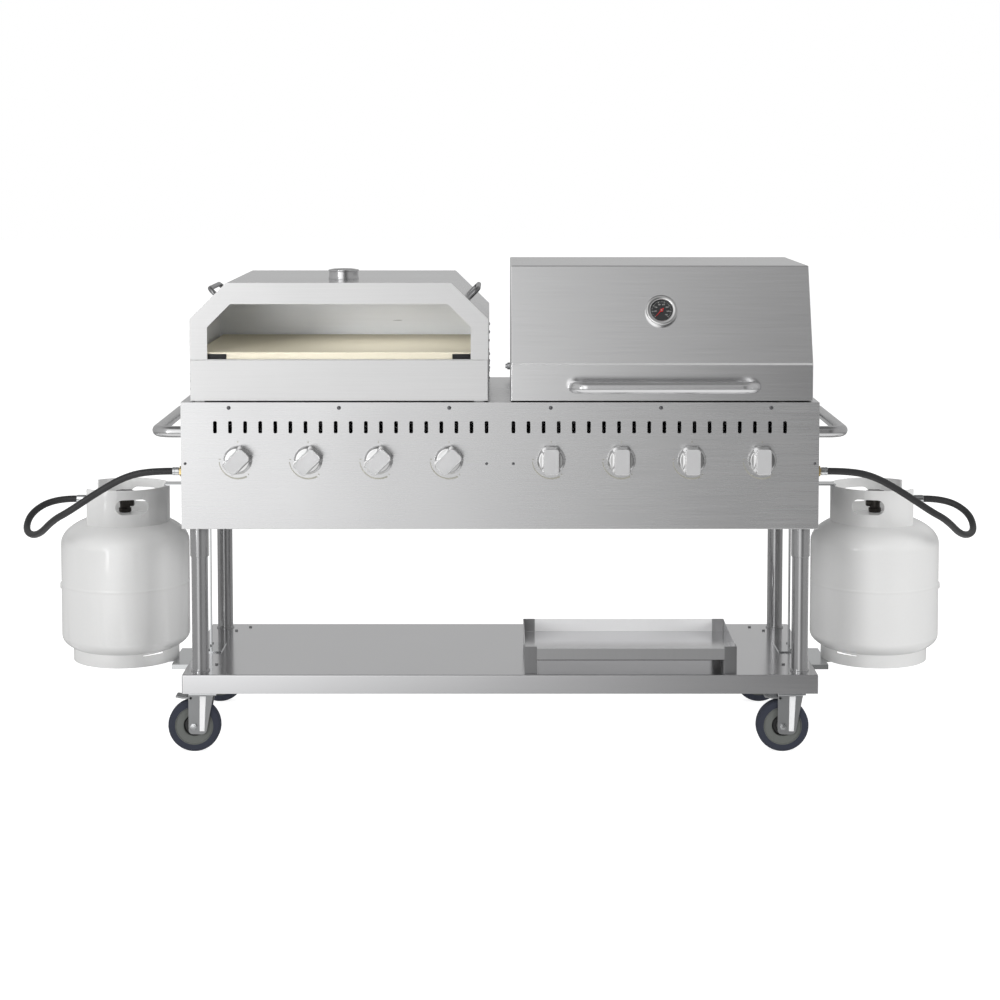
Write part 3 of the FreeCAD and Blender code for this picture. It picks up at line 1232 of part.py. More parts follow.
def build_tanks():
    """Two propane tanks with their rings, valves, handwheels and brackets."""
    outside = tank_solid("tank_outside", 0)
    inside = tank_solid("tank_inside", "tank_wall")
    neck_foot = "tank_crown - neck_seat"
    neck = rod("tank_neck", "neck_diameter", "2 * neck_seat", (0, 0, neck_foot))
    vessel = cut("tank_vessel", outside, inside, neck)
    ring_top = "tank_body_rise"
    ring = cut("tank_ring", rod("ring_outer", "ring_diameter", ring_top, (0, 0, 0)),
               rod("ring_inner", "ring_diameter - 2 * ring_wall", ring_top, (0, 0, 0)), outside)
    height = "collar_top - tank_shoulder"
    outer = rod("collar_outer", "collar_diameter", height, (0, 0, "tank_shoulder"))
    inner = rod("collar_inner_bore", "2 * collar_inner", height, (0, 0, "tank_shoulder"))
    gap = block("collar_gap", ("0", "collar_diameter"), ("-collar_opening / 2", "collar_opening / 2"),
                ("tank_shoulder", "collar_top"))
    holes = []
    for row, sign in (("front", -1), ("rear", 1)):
        bar = rod(f"hand_hole_{row}_bar", "hand_hole_height", "collar_diameter", (0, 0, 0), "y")
        width = "(hand_hole_width - hand_hole_height) / 2"
        ends = group(f"hand_hole_{row}_ends", placed(f"hand_hole_{row}_low", bar, (f"-({width})", 0, 0)),
                     placed(f"hand_hole_{row}_high", bar, (width, 0, 0)))
        slab = block(f"hand_hole_{row}_slab", (f"-({width})", width), ("0", "collar_diameter"),
                     ("-hand_hole_height / 2", "hand_hole_height / 2"))
        start = 180 if sign < 0 else 0
        turn = f"{start} - hand_hole_turn" if sign < 0 else "hand_hole_turn"
        holes.append(placed(f"hand_hole_{row}", join(f"hand_hole_{row}_long", *ends.Links, slab),
                            (0, 0, "hand_hole_rise"),
                            (0, 0, 1), turn))
    collar = cut("tank_collar", outer, inner, outside, gap, *holes)

    stalk = rod("valve_stalk", "neck_diameter", f"valve_top - ({neck_foot})", (0, 0, neck_foot))
    outlet = rod("valve_outlet", "outlet_diameter", "outlet_reach", (0, 0, "outlet_rise"), "x")
    spindle_bore = rod("spindle_bore", "spindle_diameter + 2 * running_gap", "spindle_depth + seat_gap",
                       (0, 0, "valve_top - spindle_depth - seat_gap"))
    tap = cut("tank_tap", join("tank_tap_solid", stalk, outlet), spindle_bore)
    wheel_foot = "valve_top + handwheel_stand"
    disc = rod("handwheel_disc", "handwheel_diameter - handwheel_lobe / 2", "handwheel_height",
               (0, 0, wheel_foot))
    lobes = []
    lobe_count = SIZES["handwheel_lobes"]
    for number in range(lobe_count):
        angle = math.tau * number / lobe_count
        reach = "(handwheel_diameter - handwheel_lobe) / 2"
        lobes.append(rod(f"handwheel_lobe_{number}", "handwheel_lobe", "handwheel_height",
                         (f"{math.cos(angle):.6f} * {reach}", f"{math.sin(angle):.6f} * {reach}",
                          wheel_foot)))
    spindle = rod("spindle", "spindle_diameter", "spindle_depth + handwheel_stand",
                  (0, 0, "valve_top - spindle_depth"))
    handwheel = join("handwheel", disc, *lobes, spindle)

    nut = rod("outlet_nut", "nut_diameter", "nut_reach - outlet_reach", ("outlet_reach", 0, "outlet_rise"),
              "x")
    tail = rod("outlet_tail", "hose_end_diameter", "regulator_reach - nut_reach",
               ("nut_reach", 0, "outlet_rise"), "x")
    regulator = join("regulator", nut, tail)
    at = "tank_x", "tank_y", "tank_foot"
    keep(pair("propane_tanks", placed("vessel_right", vessel, at)))
    keep(pair("tank_rings", placed("rings_right", group("rings", ring, collar), at)))
    keep(pair("tank_valves", placed("tap_right", tap, at)))
    wheel_right = placed("handwheel_right", handwheel, at)
    keep(wheel_right)
    keep(mirrored("handwheel_left", wheel_right))

    inlet = rod("inlet_nut", "inlet_diameter", "inlet_length", ("body_half", "pipe_y", "pipe_z"), "x")
    hose_end = rod("inlet_hose_end", "hose_end_diameter", "hose_end_length",
                   ("body_half + inlet_length", "pipe_y", "pipe_z"), "x")
    fittings = group("fittings_right", placed("regulator_right", regulator, at),
                     join("inlet", inlet, hose_end))
    keep(pair("gas_fittings", fittings))

    middle = "tank_y - bracket_width / 2", "tank_y + bracket_width / 2"
    shelf_end = "shelf_half + seat_gap"
    base = block("bracket_base", ("bracket_inner", f"{shelf_end} + bracket_sheet"), middle,
                 ("shelf_top", "shelf_top + bracket_sheet"))
    drop = block("bracket_drop", (shelf_end, f"{shelf_end} + bracket_sheet"), middle,
                 ("tank_foot - bracket_sheet", "shelf_top + bracket_sheet"))
    ledge = block("bracket_ledge", (shelf_end, "bracket_reach"), middle,
                  ("tank_foot - bracket_sheet", "tank_foot"))
    tab = block("bracket_tab", ("bracket_reach - bracket_sheet", "bracket_reach"),
                ("tank_y - bracket_tab / 2", "tank_y + bracket_tab / 2"),
                ("tank_foot", "tank_foot + bracket_tab_rise"))
    wide = "tank_y - bracket_wing_width / 2", "tank_y + bracket_wing_width / 2"
    wing_across = shelf_end, f"{shelf_end} + bracket_wing_reach"
    wing = block("bracket_wing", wing_across, wide, ("tank_foot - bracket_sheet", "tank_foot"))
    hem_high = "tank_foot - bracket_hem", "tank_foot"
    hem_front = block("bracket_hem_front", wing_across, (wide[0], f"{wide[0]} + bracket_sheet"), hem_high)
    hem_rear = block("bracket_hem_rear", wing_across, (f"{wide[1]} - bracket_sheet", wide[1]), hem_high)
    strap = block("bracket_strap", ("strap_offset", "strap_offset + bracket_sheet"),
                  ("tank_y - strap_width / 2", "tank_y + strap_width / 2"),
                  ("shelf_top + bracket_sheet", "body_bottom"))
    shanks = []
    for number, (across, deep) in enumerate(BRACKET_BOLTS):
        at = f"shelf_half - {across}", f"panel_front + {deep}", "shelf_top"
        shanks.append(rod(f"bracket_bolt_hole_{number}", "screw_shank", "bracket_sheet", at))
    welded = join("tank_rest_welded", base, drop, ledge, wing, hem_front, hem_rear, tab, strap)
    rest = cut("tank_rest", welded, *shanks)
    hook_y = "tank_y - hook_width / 2", "tank_y + hook_width / 2"
    inner_wall = "tank_x - collar_inner"
    over = "collar_rim + seat_gap", "collar_rim + seat_gap + bracket_sheet"
    plate = block("hook_plate", ("body_half", "body_half + bracket_sheet"), hook_y,
                 (over[0], f"{over[0]} + hook_rise"))
    arm = block("hook_arm", ("body_half", f"{inner_wall} + seat_gap + 2 * bracket_sheet"), hook_y, over)
    lip = block("hook_lip", (f"{inner_wall} + bracket_sheet + seat_gap",
                             f"{inner_wall} + seat_gap + 2 * bracket_sheet"),
                ("tank_y - hook_lip / 2", "tank_y + hook_lip / 2"), (f"{over[0]} - hook_drop", over[0]))
    hook = join("tank_hook", plate, arm, lip)
    keep(pair("tank_brackets", group("bracket_right", rest, hook)))


def build_shelf_tray():
    """Loose tray on the undershelf: a folded pan between four corner posts."""
    rear = "pan_front + pan_depth"
    rim, floor = "shelf_top + pan_height", "shelf_top + pan_floor"
    outer = block("pan_outer", ("pan_left", "pan_right"), ("pan_front", rear), (floor, rim))
    hollow = block("pan_hollow", ("pan_left + pan_sheet", "pan_right - pan_sheet"),
                   ("pan_front + pan_sheet", f"{rear} - pan_sheet"),
                   (f"{floor} + pan_sheet", rim))
    low_front = block("pan_low_front", ("pan_left + pan_leg", "pan_right - pan_leg"),
                      ("pan_front", "pan_front + pan_sheet"),
                      (f"{rim} - pan_lip_drop", rim))
    pan = cut("pan", outer, hollow, low_front)
    legs = []
    for side, low, high in (("left", "pan_left", "pan_left + pan_leg"),
                            ("right", "pan_right - pan_leg", "pan_right")):
        for row, near, far in (("front", "pan_front", "pan_front + pan_leg"),
                               ("rear", f"{rear} - pan_leg", rear)):
            name = f"pan_leg_{row}_{side}"
            solid = block(name + "_block", (low, high), (near, far), ("shelf_top", rim))
            inner_x = (f"{low} + pan_leg_sheet", high) if side == "left" else (low,
                                                                               f"{high} - pan_leg_sheet")
            inner_y = (f"{near} + pan_leg_sheet", far) if row == "front" else (near,
                                                                               f"{far} - pan_leg_sheet")
            legs.append(cut(name, solid, block(name + "_inside", inner_x, inner_y, ("shelf_top", rim))))
    keep(join("shelf_tray", pan, *legs))


def rounded_path(points):
    """Straight runs joined by tangent arcs, each as large as its runs allow, and the radii of the arcs."""
    edges, radii = [], []
    start = points[0]
    for before, corner, after in zip(points, points[1:], points[2:]):
        back, ahead = before - corner, after - corner
        half_turn = (math.pi - back.getAngle(ahead)) / 2
        setback = BEND_SHARE * min(back.Length, ahead.Length)
        radii.append(setback / math.tan(half_turn))
        inward = back.normalize() + ahead.normalize()
        entry, leave = corner + back * setback, corner + ahead * setback
        middle = corner + inward.normalize() * (radii[-1] / math.cos(half_turn) - radii[-1])
        edges.append(Part.LineSegment(start, entry).toShape())
        edges.append(Part.Arc(entry, middle, leave).toShape())
        start = leave
    edges.append(Part.LineSegment(start, points[-1]).toShape())
    return Part.Wire(edges), radii


def build_hoses():
    """The two gas hoses as tubes along their free route."""
    section = value("hose_diameter") / 2
    for side, sign in SIDES:
        points = []
        for across, deep, down in HOSE_ROUTE:
            points.append(FreeCAD.Vector(value(f"{sign} * (hose_start + {across} * hose_reach)"),
                                         value(f"pipe_y + {deep} * (tank_y - pipe_y)"),
                                         value(f"pipe_z + {down} * (outlet_z - pipe_z)")))
        path, radii = rounded_path(points)
        along = points[1] - points[0]
        ring = Part.Wire(Part.Circle(points[0], along, section).toShape())
        shape = path.makePipeShell([ring], True, False)
        hose = document.addObject("Part::Feature", f"hose_{side}")
        hose.Shape = shape
        keep(hose)
        ratio = shape.Volume / (math.pi * section ** 2 * path.Length)
        bends = [round(item) for item in radii]
        print(f"hose_{side}: length {path.Length:.1f}, volume ratio {ratio:.5f}, radii {bends}")


def export_nodes():
    """Check every object and write one file for each sub-part."""
    document.recompute()
    for item in document.Objects:
        if {"Invalid", "Error"} & set(item.State):
            raise RuntimeError(f"{item.Label} did not build: {item.State}")
    os.makedirs("parts", exist_ok=True)
    for name, piece in nodes.items():
        if piece.Shape.isNull() or not piece.Shape.isValid():
            raise RuntimeError(f"{name} has no valid shape")
        piece.Shape.exportStep(f"parts/{name}.step")
        print(f"{name}: {len(piece.Shape.Solids)} solids, {piece.Shape.Volume / 1000:.1f} cm3")


fill_sheets()
build_stand()
build_casters()
build_control_panel()
build_body()
build_gas_train()
build_knobs()
build_push_handles()
build_hood()
build_oven()
build_tanks()
build_shelf_tray()
build_hoses()
keep(group("fasteners", *fasteners))
export_nodes()
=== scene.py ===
"""Dress the gas grill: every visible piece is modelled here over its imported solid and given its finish."""

import logging
import math
from contextlib import contextmanager
from dataclasses import dataclass, replace
from enum import Enum
from typing import Callable, Iterator, Sequence

import bmesh
import bpy
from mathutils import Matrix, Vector

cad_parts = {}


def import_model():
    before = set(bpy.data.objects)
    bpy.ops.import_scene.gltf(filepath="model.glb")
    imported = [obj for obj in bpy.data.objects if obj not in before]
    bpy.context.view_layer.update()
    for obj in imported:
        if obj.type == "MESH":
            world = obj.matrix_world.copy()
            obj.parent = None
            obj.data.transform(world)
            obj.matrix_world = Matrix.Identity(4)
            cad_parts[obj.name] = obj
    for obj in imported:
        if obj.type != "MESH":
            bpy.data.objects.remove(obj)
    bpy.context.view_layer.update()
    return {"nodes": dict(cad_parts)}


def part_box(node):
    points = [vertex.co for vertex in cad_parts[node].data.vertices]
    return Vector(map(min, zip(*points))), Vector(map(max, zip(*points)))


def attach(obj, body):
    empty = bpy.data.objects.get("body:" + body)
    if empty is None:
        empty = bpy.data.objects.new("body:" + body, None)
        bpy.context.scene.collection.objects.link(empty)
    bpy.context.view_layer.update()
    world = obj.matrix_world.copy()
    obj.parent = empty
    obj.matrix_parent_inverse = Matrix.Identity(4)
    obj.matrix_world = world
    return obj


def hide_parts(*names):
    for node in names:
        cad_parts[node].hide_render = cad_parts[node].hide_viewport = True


log = logging.getLogger("gas_grill")

Point = tuple[float, float, float]
Flat = tuple[float, float]
Piece = bpy.types.Object
Tree = bpy.types.NodeTree
Node = bpy.types.Node
Socket = bpy.types.NodeSocket
Test = Callable[[Vector, Vector], bool]

MM = 0.001
UP = Vector((0, 0, 1))
DOWN = Vector((0, 0, -1))
FRONTWARD = Vector((0, -1, 0))
LEFTWARD = Vector((-1, 0, 0))
RIGHTWARD = Vector((1, 0, 0))
ORIGIN = (0, 0, 0)
SIDES = (-1, 1)
SIDE_NAMES = {-1: "left", 1: "right"}
PANEL_FRONT = -269 * MM

# Millimetres that several pieces share
BODY_HALF = 762.0
CASTER_LINE = 713.0
ROWS = {"front": 45.0, "rear": 520.0}
SHELF_TOP = 196.0
KNOB_HEIGHT = 717.0
TOP_FRAME = 855.0
COVER_FOOT = 858.0
SHEET = 1.5


class Direction(Enum):
    """Axis that an outline is pushed along, or that edges run along."""

    X = 0
    Y = 1
    Z = 2


def deep(distance: float) -> float:
    """Y of a plane that many millimetres behind the front of the control panel."""
    return PANEL_FRONT + distance * MM


def place(across: float, back: float, up: float) -> Point:
    """A point, from its millimetres across, behind the panel's front and above the floor."""
    return (across * MM, deep(back), up * MM)


def metres(points: Sequence[Flat]) -> list[Flat]:
    """Flat points in millimetres, turned into metres."""
    return [(first * MM, second * MM) for first, second in points]


# Modelling helpers


def faces(direction: Vector, limit: float = 0.9) -> Test:
    """Test for faces that look along a direction."""
    return lambda middle, normal: normal.dot(direction) > limit


def runs(axis: Direction, limit: float = 0.9) -> Test:
    """Test for edges that run along an axis."""
    return lambda middle, along: abs(along[axis.value]) > limit


def only(piece: Piece) -> None:
    """Select one piece and nothing else."""
    bpy.ops.object.select_all(action="DESELECT")
    piece.select_set(True)
    bpy.context.view_layer.objects.active = piece


@contextmanager
def editing(piece: Piece, kind: str = "FACE") -> Iterator[None]:
    """Edit mode on one piece.

    Args:
        piece: The piece to edit.
        kind: What is selected there: VERT, EDGE or FACE.
    """
    only(piece)
    bpy.ops.object.mode_set(mode="EDIT")
    bpy.ops.mesh.select_mode(type=kind)
    bpy.ops.mesh.select_all(action="SELECT")
    try:
        yield
    finally:
        bpy.ops.object.mode_set(mode="OBJECT")


def pick(kind: str, test: Test) -> None:
    """Select the parts of the mesh in edit mode that pass a test.

    Args:
        kind: FACE, or EDGE.
        test: Takes the middle of the part, and its normal or its direction.
    """
    bpy.ops.mesh.select_all(action="DESELECT")
    data = bpy.context.object.data
    mesh = bmesh.from_edit_mesh(data)
    if kind == "FACE":
        for face in mesh.faces:
            face.select_set(test(face.calc_center_median(), face.normal))
    else:
        for edge in mesh.edges:
            first, second = edge.verts[0].co, edge.verts[1].co
            edge.select_set(test((first + second) / 2, (second - first).normalized()))
    mesh.select_flush_mode()
    bmesh.update_edit_mesh(data)


def round_edges(piece: Piece, radius: float, segments: int, test: Test) -> Piece:
    """Round the edges that pass a test, by a radius in millimetres."""
    with editing(piece, "EDGE"):
        pick("EDGE", test)
        bpy.ops.mesh.bevel(offset=radius * MM, segments=segments, affect="EDGES")
    return piece


def settle(piece: Piece) -> Piece:
    """Put a piece's place, turn and scale into its mesh."""
    only(piece)
    bpy.ops.object.transform_apply(location=True, rotation=True, scale=True)
    return piece


def face_out(piece: Piece) -> Piece:
    """Merge doubles and turn all faces outwards."""
    with editing(piece, "VERT"):
        bpy.ops.mesh.remove_doubles(threshold=1e-6)
        bpy.ops.mesh.normals_make_consistent(inside=False)
    return piece


def named(name: str) -> Piece:
    """Name the object that an operator has just made."""
    piece = bpy.context.object
    piece.name = name
    piece.data.name = name
    return piece


def fresh(name: str, operator: Callable, **settings: object) -> Piece:
    """Run an operator that adds one object, and name that object."""
    bpy.ops.object.select_all(action="DESELECT")
    operator(**settings)
    return named(name)


def modify(piece: Piece, kind: str, **settings: object) -> Piece:
    """Add a modifier to a piece and apply it.

    Args:
        piece: The piece to change.
        kind: Blender's name of the modifier type.
        settings: Its properties.

    Returns:
        The same piece.
    """
    only(piece)
    modifier = piece.modifiers.new(kind.lower(), kind)
    for key, setting in settings.items():
        setattr(modifier, key, setting)
    bpy.ops.object.modifier_apply(modifier=modifier.name)
    return piece


def bevel(piece: Piece, width: float, segments: int, angle: float) -> Piece:
    """Round all edges sharper than an angle in degrees, by a width in millimetres."""
    return modify(piece, "BEVEL", width=width * MM, segments=segments, limit_method="ANGLE",
                  angle_limit=math.radians(angle))


def shade(piece: Piece, angle: float = 40.0) -> Piece:
    """Smooth shading on curves, and flat faces kept flat."""
    only(piece)
    bpy.ops.object.shade_smooth_by_angle(angle=math.radians(angle))
    return modify(piece, "WEIGHTED_NORMAL", keep_sharp=True)


def soften(piece: Piece, width: float, segments: int = 2, angle: float = 30.0) -> Piece:
    """Round a piece's edges, by a width in millimetres, and shade it."""
    return shade(bevel(piece, width, segments, angle))


def block(name: str, low: Point, high: Point) -> Piece:
    """A box between two corners, as a start."""
    centre = [(a + b) / 2 for a, b in zip(low, high)]
    piece = fresh(name, bpy.ops.mesh.primitive_cube_add, size=1, location=centre)
    piece.scale = [b - a for a, b in zip(low, high)]
    return settle(piece)


def slab(name: str, low: Point, high: Point) -> Piece:
    """A box in place, between corners in millimetres across, behind the panel's front and up."""
    return block(name, place(*low), place(*high))


def blank(name: str, low: Point, high: Point) -> Piece:
    """A box between corners in millimetres about the origin, to be moved into place."""
    return block(name, [part * MM for part in low], [part * MM for part in high])


def outline(name: str, points: Sequence[Flat], along: Direction, start: float, end: float) -> Piece:
    """A flat outline pushed along an axis.

    Args:
        name: Name of the piece.
        points: Corners in the plane across the axis, in the order of its two other axes.
        along: The axis.
        start: Plane of the outline on that axis.
        end: Plane that it is pushed to.

    Returns:
        The closed solid.
    """
    piece = fresh(name, bpy.ops.mesh.primitive_circle_add, vertices=len(points), fill_type="NGON")
    for vertex, point in zip(piece.data.vertices, points):
        spot = list(point)
        spot.insert(along.value, start)
        vertex.co = spot
    push = [0.0, 0.0, 0.0]
    push[along.value] = end - start
    with editing(piece):
        bpy.ops.mesh.extrude_region_move(TRANSFORM_OT_translate={"value": push})
    return face_out(piece)


def lathe(name: str, profile: Sequence[Flat], steps: int = 48) -> Piece:
    """A closed profile of radius and height, in millimetres, spun about Z.

    Args:
        name: Name of the piece.
        profile: Corners of the profile, in order round it.
        steps: Number of steps in the full turn.

    Returns:
        The turned solid, standing on the origin.
    """
    piece = fresh(name, bpy.ops.mesh.primitive_circle_add, vertices=len(profile), fill_type="NOTHING")
    for vertex, (radius, height) in zip(piece.data.vertices, profile):
        vertex.co = (radius * MM, 0, height * MM)
    with editing(piece, "EDGE"):
        bpy.ops.mesh.spin(steps=steps, angle=math.tau, center=ORIGIN, axis=(0, 0, 1))
    face_out(piece)
    with editing(piece):
        bpy.ops.mesh.dissolve_degenerate(threshold=1e-7)
    return piece


def quarter(radius: float, height: float, size: float, start: float, steps: int = 4) -> list[Flat]:
    """Points of a quarter round in a profile.

    Args:
        radius: Radius of its centre.
        height: Height of its centre.
        size: Its own radius.
        start: Angle that it starts from, in degrees, turning anticlockwise.
        steps: Number of steps.

    Returns:
        The points, in order.
    """
    points = []
    for step in range(steps + 1):
        angle = math.radians(start + 90 * step / steps)
        points.append((radius + size * math.cos(angle), height + size * math.sin(angle)))
    return points


def aim(piece: Piece, at: Point, toward: Vector = UP, roll: float = 0.0) -> Piece:
    """Stand a piece made on the origin at a point.

    Args:
        piece: The piece, with +Z as its own axis.
        at: Where its origin goes.
        toward: Where its own axis points.
        roll: Turn about its own axis before that, in degrees.

    Returns:
        The same piece.
    """
    piece.rotation_euler = (0, 0, math.radians(roll))
    settle(piece)
    if toward.y == -1:
        piece.rotation_euler = (math.radians(90), 0, 0)
    else:
        piece.rotation_euler = UP.rotation_difference(toward).to_euler()
    piece.location = at
    return settle(piece)


def copied(piece: Piece, name: str, by: Point = ORIGIN) -> Piece:
    """A copy with its own mesh, moved by a distance."""
    only(piece)
    bpy.ops.object.duplicate(linked=False)
    copy = named(name)
    copy.location = by
    return settle(copy)


def mirror(piece: Piece, name: str, plane: float = 0.0) -> Piece:
    """A mirror copy of a piece across a plane of constant X."""
    copy = copied(piece, name, (-plane, 0, 0))
    copy.scale = (-1, 1, 1)
    settle(copy)
    copy.location = (plane, 0, 0)
    return face_out(settle(copy))


def joined(name: str, pieces: Sequence[Piece]) -> Piece:
    """Several pieces as one object."""
    bpy.ops.object.select_all(action="DESELECT")
    for piece in pieces:
        piece.select_set(True)
    bpy.context.view_layer.objects.active = pieces[0]
    bpy.ops.object.join()
    return named(name)


def carve(piece: Piece, cutter: Piece) -> Piece:
    """Cut one piece away from another, and drop the cutter."""
    modify(piece, "BOOLEAN", operation="DIFFERENCE", solver="EXACT", object=cutter)
    bpy.data.objects.remove(cutter)
    return piece


def open_sheet(piece: Piece, test: Test, fold: float, wall: float = SHEET) -> Piece:
    """Turn a solid into bent sheet: open some faces, round the folds and give it thickness inwards.

    Args:
        piece: The solid.
        test: Takes the middle and the normal of a face, and says whether it is open.
        fold: Outer radius of the folds in millimetres.
        wall: Thickness of the sheet in millimetres.

    Returns:
        The same piece.
    """
    with editing(piece):
        pick("FACE", test)
        bpy.ops.mesh.delete(type="FACE")
    bevel(piece, fold, 3, 20)
    modify(piece, "SOLIDIFY", thickness=wall * MM, offset=-1, use_even_offset=True)
    return shade(piece)


def bent_tube(name: str, spread: float, reach: float, diameter: float, bend: float) -> Piece:
    """A tube handle: feet at Z = 0 on both ends of X, and a straight grip at Z = reach.

    Args:
        name: Name of the piece.
        spread: Distance between the feet's centres, in millimetres.
        reach: Height of the grip's centre.
        diameter: Diameter of the tube.
        bend: Radius of the bends at the tube's centre.

    Returns:
        The tube with closed ends.
    """
    half, rise, turn = spread / 2 * MM, reach * MM, bend * MM
    tube = fresh(name, bpy.ops.mesh.primitive_circle_add, vertices=32, radius=diameter / 2 * MM,
                 location=(half, 0, 0), fill_type="NOTHING")
    settle(tube)
    straights_and_bends = (((0, 0, rise - turn), half - turn), ((2 * turn - 2 * half, 0, 0), turn - half))
    with editing(tube, "EDGE"):
        for straight, middle in straights_and_bends:
            bpy.ops.mesh.extrude_edges_move(TRANSFORM_OT_translate={"value": straight})
            bpy.ops.mesh.spin(steps=12, angle=math.pi / 2, center=(middle, 0, rise - turn), axis=(0, 1, 0))
        bpy.ops.mesh.extrude_edges_move(TRANSFORM_OT_translate={"value": (0, 0, turn - rise)})
    face_out(tube)
    with editing(tube, "EDGE"):
        bpy.ops.mesh.select_all(action="DESELECT")
        bpy.ops.mesh.select_non_manifold()
        bpy.ops.mesh.fill_holes(sides=0)
    return shade(face_out(tube))


# Finishes


def wire(tree: Tree, source: Node, output: str, target: Node, entry: str | int) -> None:
    """Link an output of one node to an input of another."""
    tree.links.new(source.outputs[output], target.inputs[entry])


def fill(node: Node, values: dict[str, object]) -> None:
    """Set inputs of a node by name."""
    for name, setting in values.items():
        node.inputs[name].default_value = setting


def surface_group() -> Tree:
    """The group that gives every finish its fine grain and its large uneven patches.

    Returns:
        A group with a vector and a scale for each of Grain and Patch, and the outputs Grain and Patch.
    """
    tree = bpy.data.node_groups.get("surface_detail")
    if tree:
        return tree
    tree = bpy.data.node_groups.new("surface_detail", "ShaderNodeTree")
    details = {"Grain": 3.0, "Patch": 4.0}
    for name in details:
        tree.interface.new_socket(f"{name} Vector", in_out="INPUT", socket_type="NodeSocketVector")
        tree.interface.new_socket(f"{name} Scale", in_out="INPUT", socket_type="NodeSocketFloat")
        tree.interface.new_socket(name, in_out="OUTPUT", socket_type="NodeSocketFloat")
    entry = tree.nodes.new("NodeGroupInput")
    leave = tree.nodes.new("NodeGroupOutput")
    for name, detail in details.items():
        noise = tree.nodes.new("ShaderNodeTexNoise")
        fill(noise, {"Detail": detail})
        wire(tree, entry, f"{name} Vector", noise, "Vector")
        wire(tree, entry, f"{name} Scale", noise, "Scale")
        wire(tree, noise, "Fac", leave, name)
    return tree


@dataclass(frozen=True)
class Finish:
    """A surface finish, with the name of its slot."""

    name: str
    slot: str
    colour: Point
    roughness: float
    metallic: float = 0.0
    coat: float = 0.0
    coat_roughness: float = 0.08
    grain_scale: float = 300.0
    stretch: Point = (1.0, 1.0, 1.0)
    patch_scale: float = 5.0
    tint_spread: float = 0.05
    patch_tint: float = 0.04
    rough_spread: float = 0.06
    sheen: float = 0.5
    bump: float = 0.02
    bump_depth: float = 0.2

    def material(self) -> bpy.types.Material:
        """The material of this finish, built once.

        Returns:
            A node material that reads Object coordinates.
        """
        made = bpy.data.materials.get(self.name)
        if made:
            return made
        made = bpy.data.materials.new(self.name)
        made.use_nodes = True
        tree = made.node_tree
        shader = tree.nodes["Principled BSDF"]
        fill(shader, {"Metallic": self.metallic, "Specular IOR Level": self.sheen, "Coat Weight": self.coat,
                      "Coat Roughness": self.coat_roughness})
        coordinates = tree.nodes.new("ShaderNodeTexCoord")
        mapping = tree.nodes.new("ShaderNodeMapping")
        fill(mapping, {"Scale": self.stretch})
        wire(tree, coordinates, "Object", mapping, "Vector")
        detail = tree.nodes.new("ShaderNodeGroup")
        detail.node_tree = surface_group()
        fill(detail, {"Grain Scale": self.grain_scale, "Patch Scale": self.patch_scale})
        wire(tree, mapping, "Vector", detail, "Grain Vector")
        wire(tree, coordinates, "Object", detail, "Patch Vector")
        self._colour(tree, shader, detail)
        self._roughness(tree, shader, detail)
        bump = tree.nodes.new("ShaderNodeBump")
        fill(bump, {"Strength": self.bump, "Distance": self.bump_depth * MM})
        wire(tree, detail, "Grain", bump, "Height")
        wire(tree, bump, "Normal", shader, "Normal")
        return made

    def _shade_of(self, factor: float) -> tuple[float, float, float, float]:
        """The colour made lighter or darker."""
        return (*(min(1.0, part * factor) for part in self.colour), 1.0)

    def _colour(self, tree: Tree, shader: Node, detail: Node) -> None:
        """Base colour from the grain, then the patches."""
        fine = tree.nodes.new("ShaderNodeMix")
        fine.data_type = "RGBA"
        fill(fine, {"A": self._shade_of(1 - self.tint_spread), "B": self._shade_of(1 + self.tint_spread)})
        broad = tree.nodes.new("ShaderNodeMix")
        broad.data_type = "RGBA"
        broad.blend_type = "MULTIPLY"
        fill(broad, {"B": (1 - 2 * self.patch_tint,) * 3 + (1.0,)})
        wire(tree, detail, "Grain", fine, "Factor")
        wire(tree, detail, "Patch", broad, "Factor")
        wire(tree, fine, "Result", broad, "A")
        wire(tree, broad, "Result", shader, "Base Color")

    def _roughness(self, tree: Tree, shader: Node, detail: Node) -> None:
        """Roughness from the grain and the patches."""
        total = tree.nodes.new("ShaderNodeMath")
        total.operation = "ADD"
        wire(tree, detail, "Grain", total, 0)
        wire(tree, detail, "Patch", total, 1)
        spread = tree.nodes.new("ShaderNodeMapRange")
        fill(spread, {"From Min": 0.5, "From Max": 1.5,
                      "To Min": max(0.02, self.roughness - self.rough_spread),
                      "To Max": self.roughness + self.rough_spread})
        wire(tree, total, "Value", spread, "Value")
        wire(tree, spread, "Result", shader, "Roughness")


def sheet_steel(name: str, colour: Point, roughness: float, metallic: float, stretch: Point,
                **others: float) -> Finish:
    """A finish of sheet steel, with its grain drawn out along one axis."""
    return Finish(name, "brushed_sheet", colour, roughness, metallic, grain_scale=1.0, stretch=stretch,
                  **others)


BRUSHED = sheet_steel("brushed_sheet_steel", (0.75, 0.75, 0.755), 0.27, 1.0, (5, 420, 420), patch_scale=2.5,
                      tint_spread=0.06, bump=0.06)
END_STEEL = replace(BRUSHED, name="brushed_end_steel", stretch=(420, 5, 420))
SHELF_STEEL = sheet_steel("polished_shelf_steel", (0.72, 0.72, 0.73), 0.16, 1.0, (4, 300, 300),
                          patch_scale=2.0,
                          tint_spread=0.03, rough_spread=0.04)
OVEN_STEEL = sheet_steel("oven_sheet_steel", (0.86, 0.86, 0.86), 0.42, 1.0, (6, 380, 380), patch_scale=3.0,
                         tint_spread=0.04, bump=0.05)
INNER_STEEL = sheet_steel("bright_oven_lining", (0.83, 0.845, 0.87), 0.3, 0.5, (5, 160, 160),
                          patch_scale=4.0,
                          tint_spread=0.03, rough_spread=0.05)
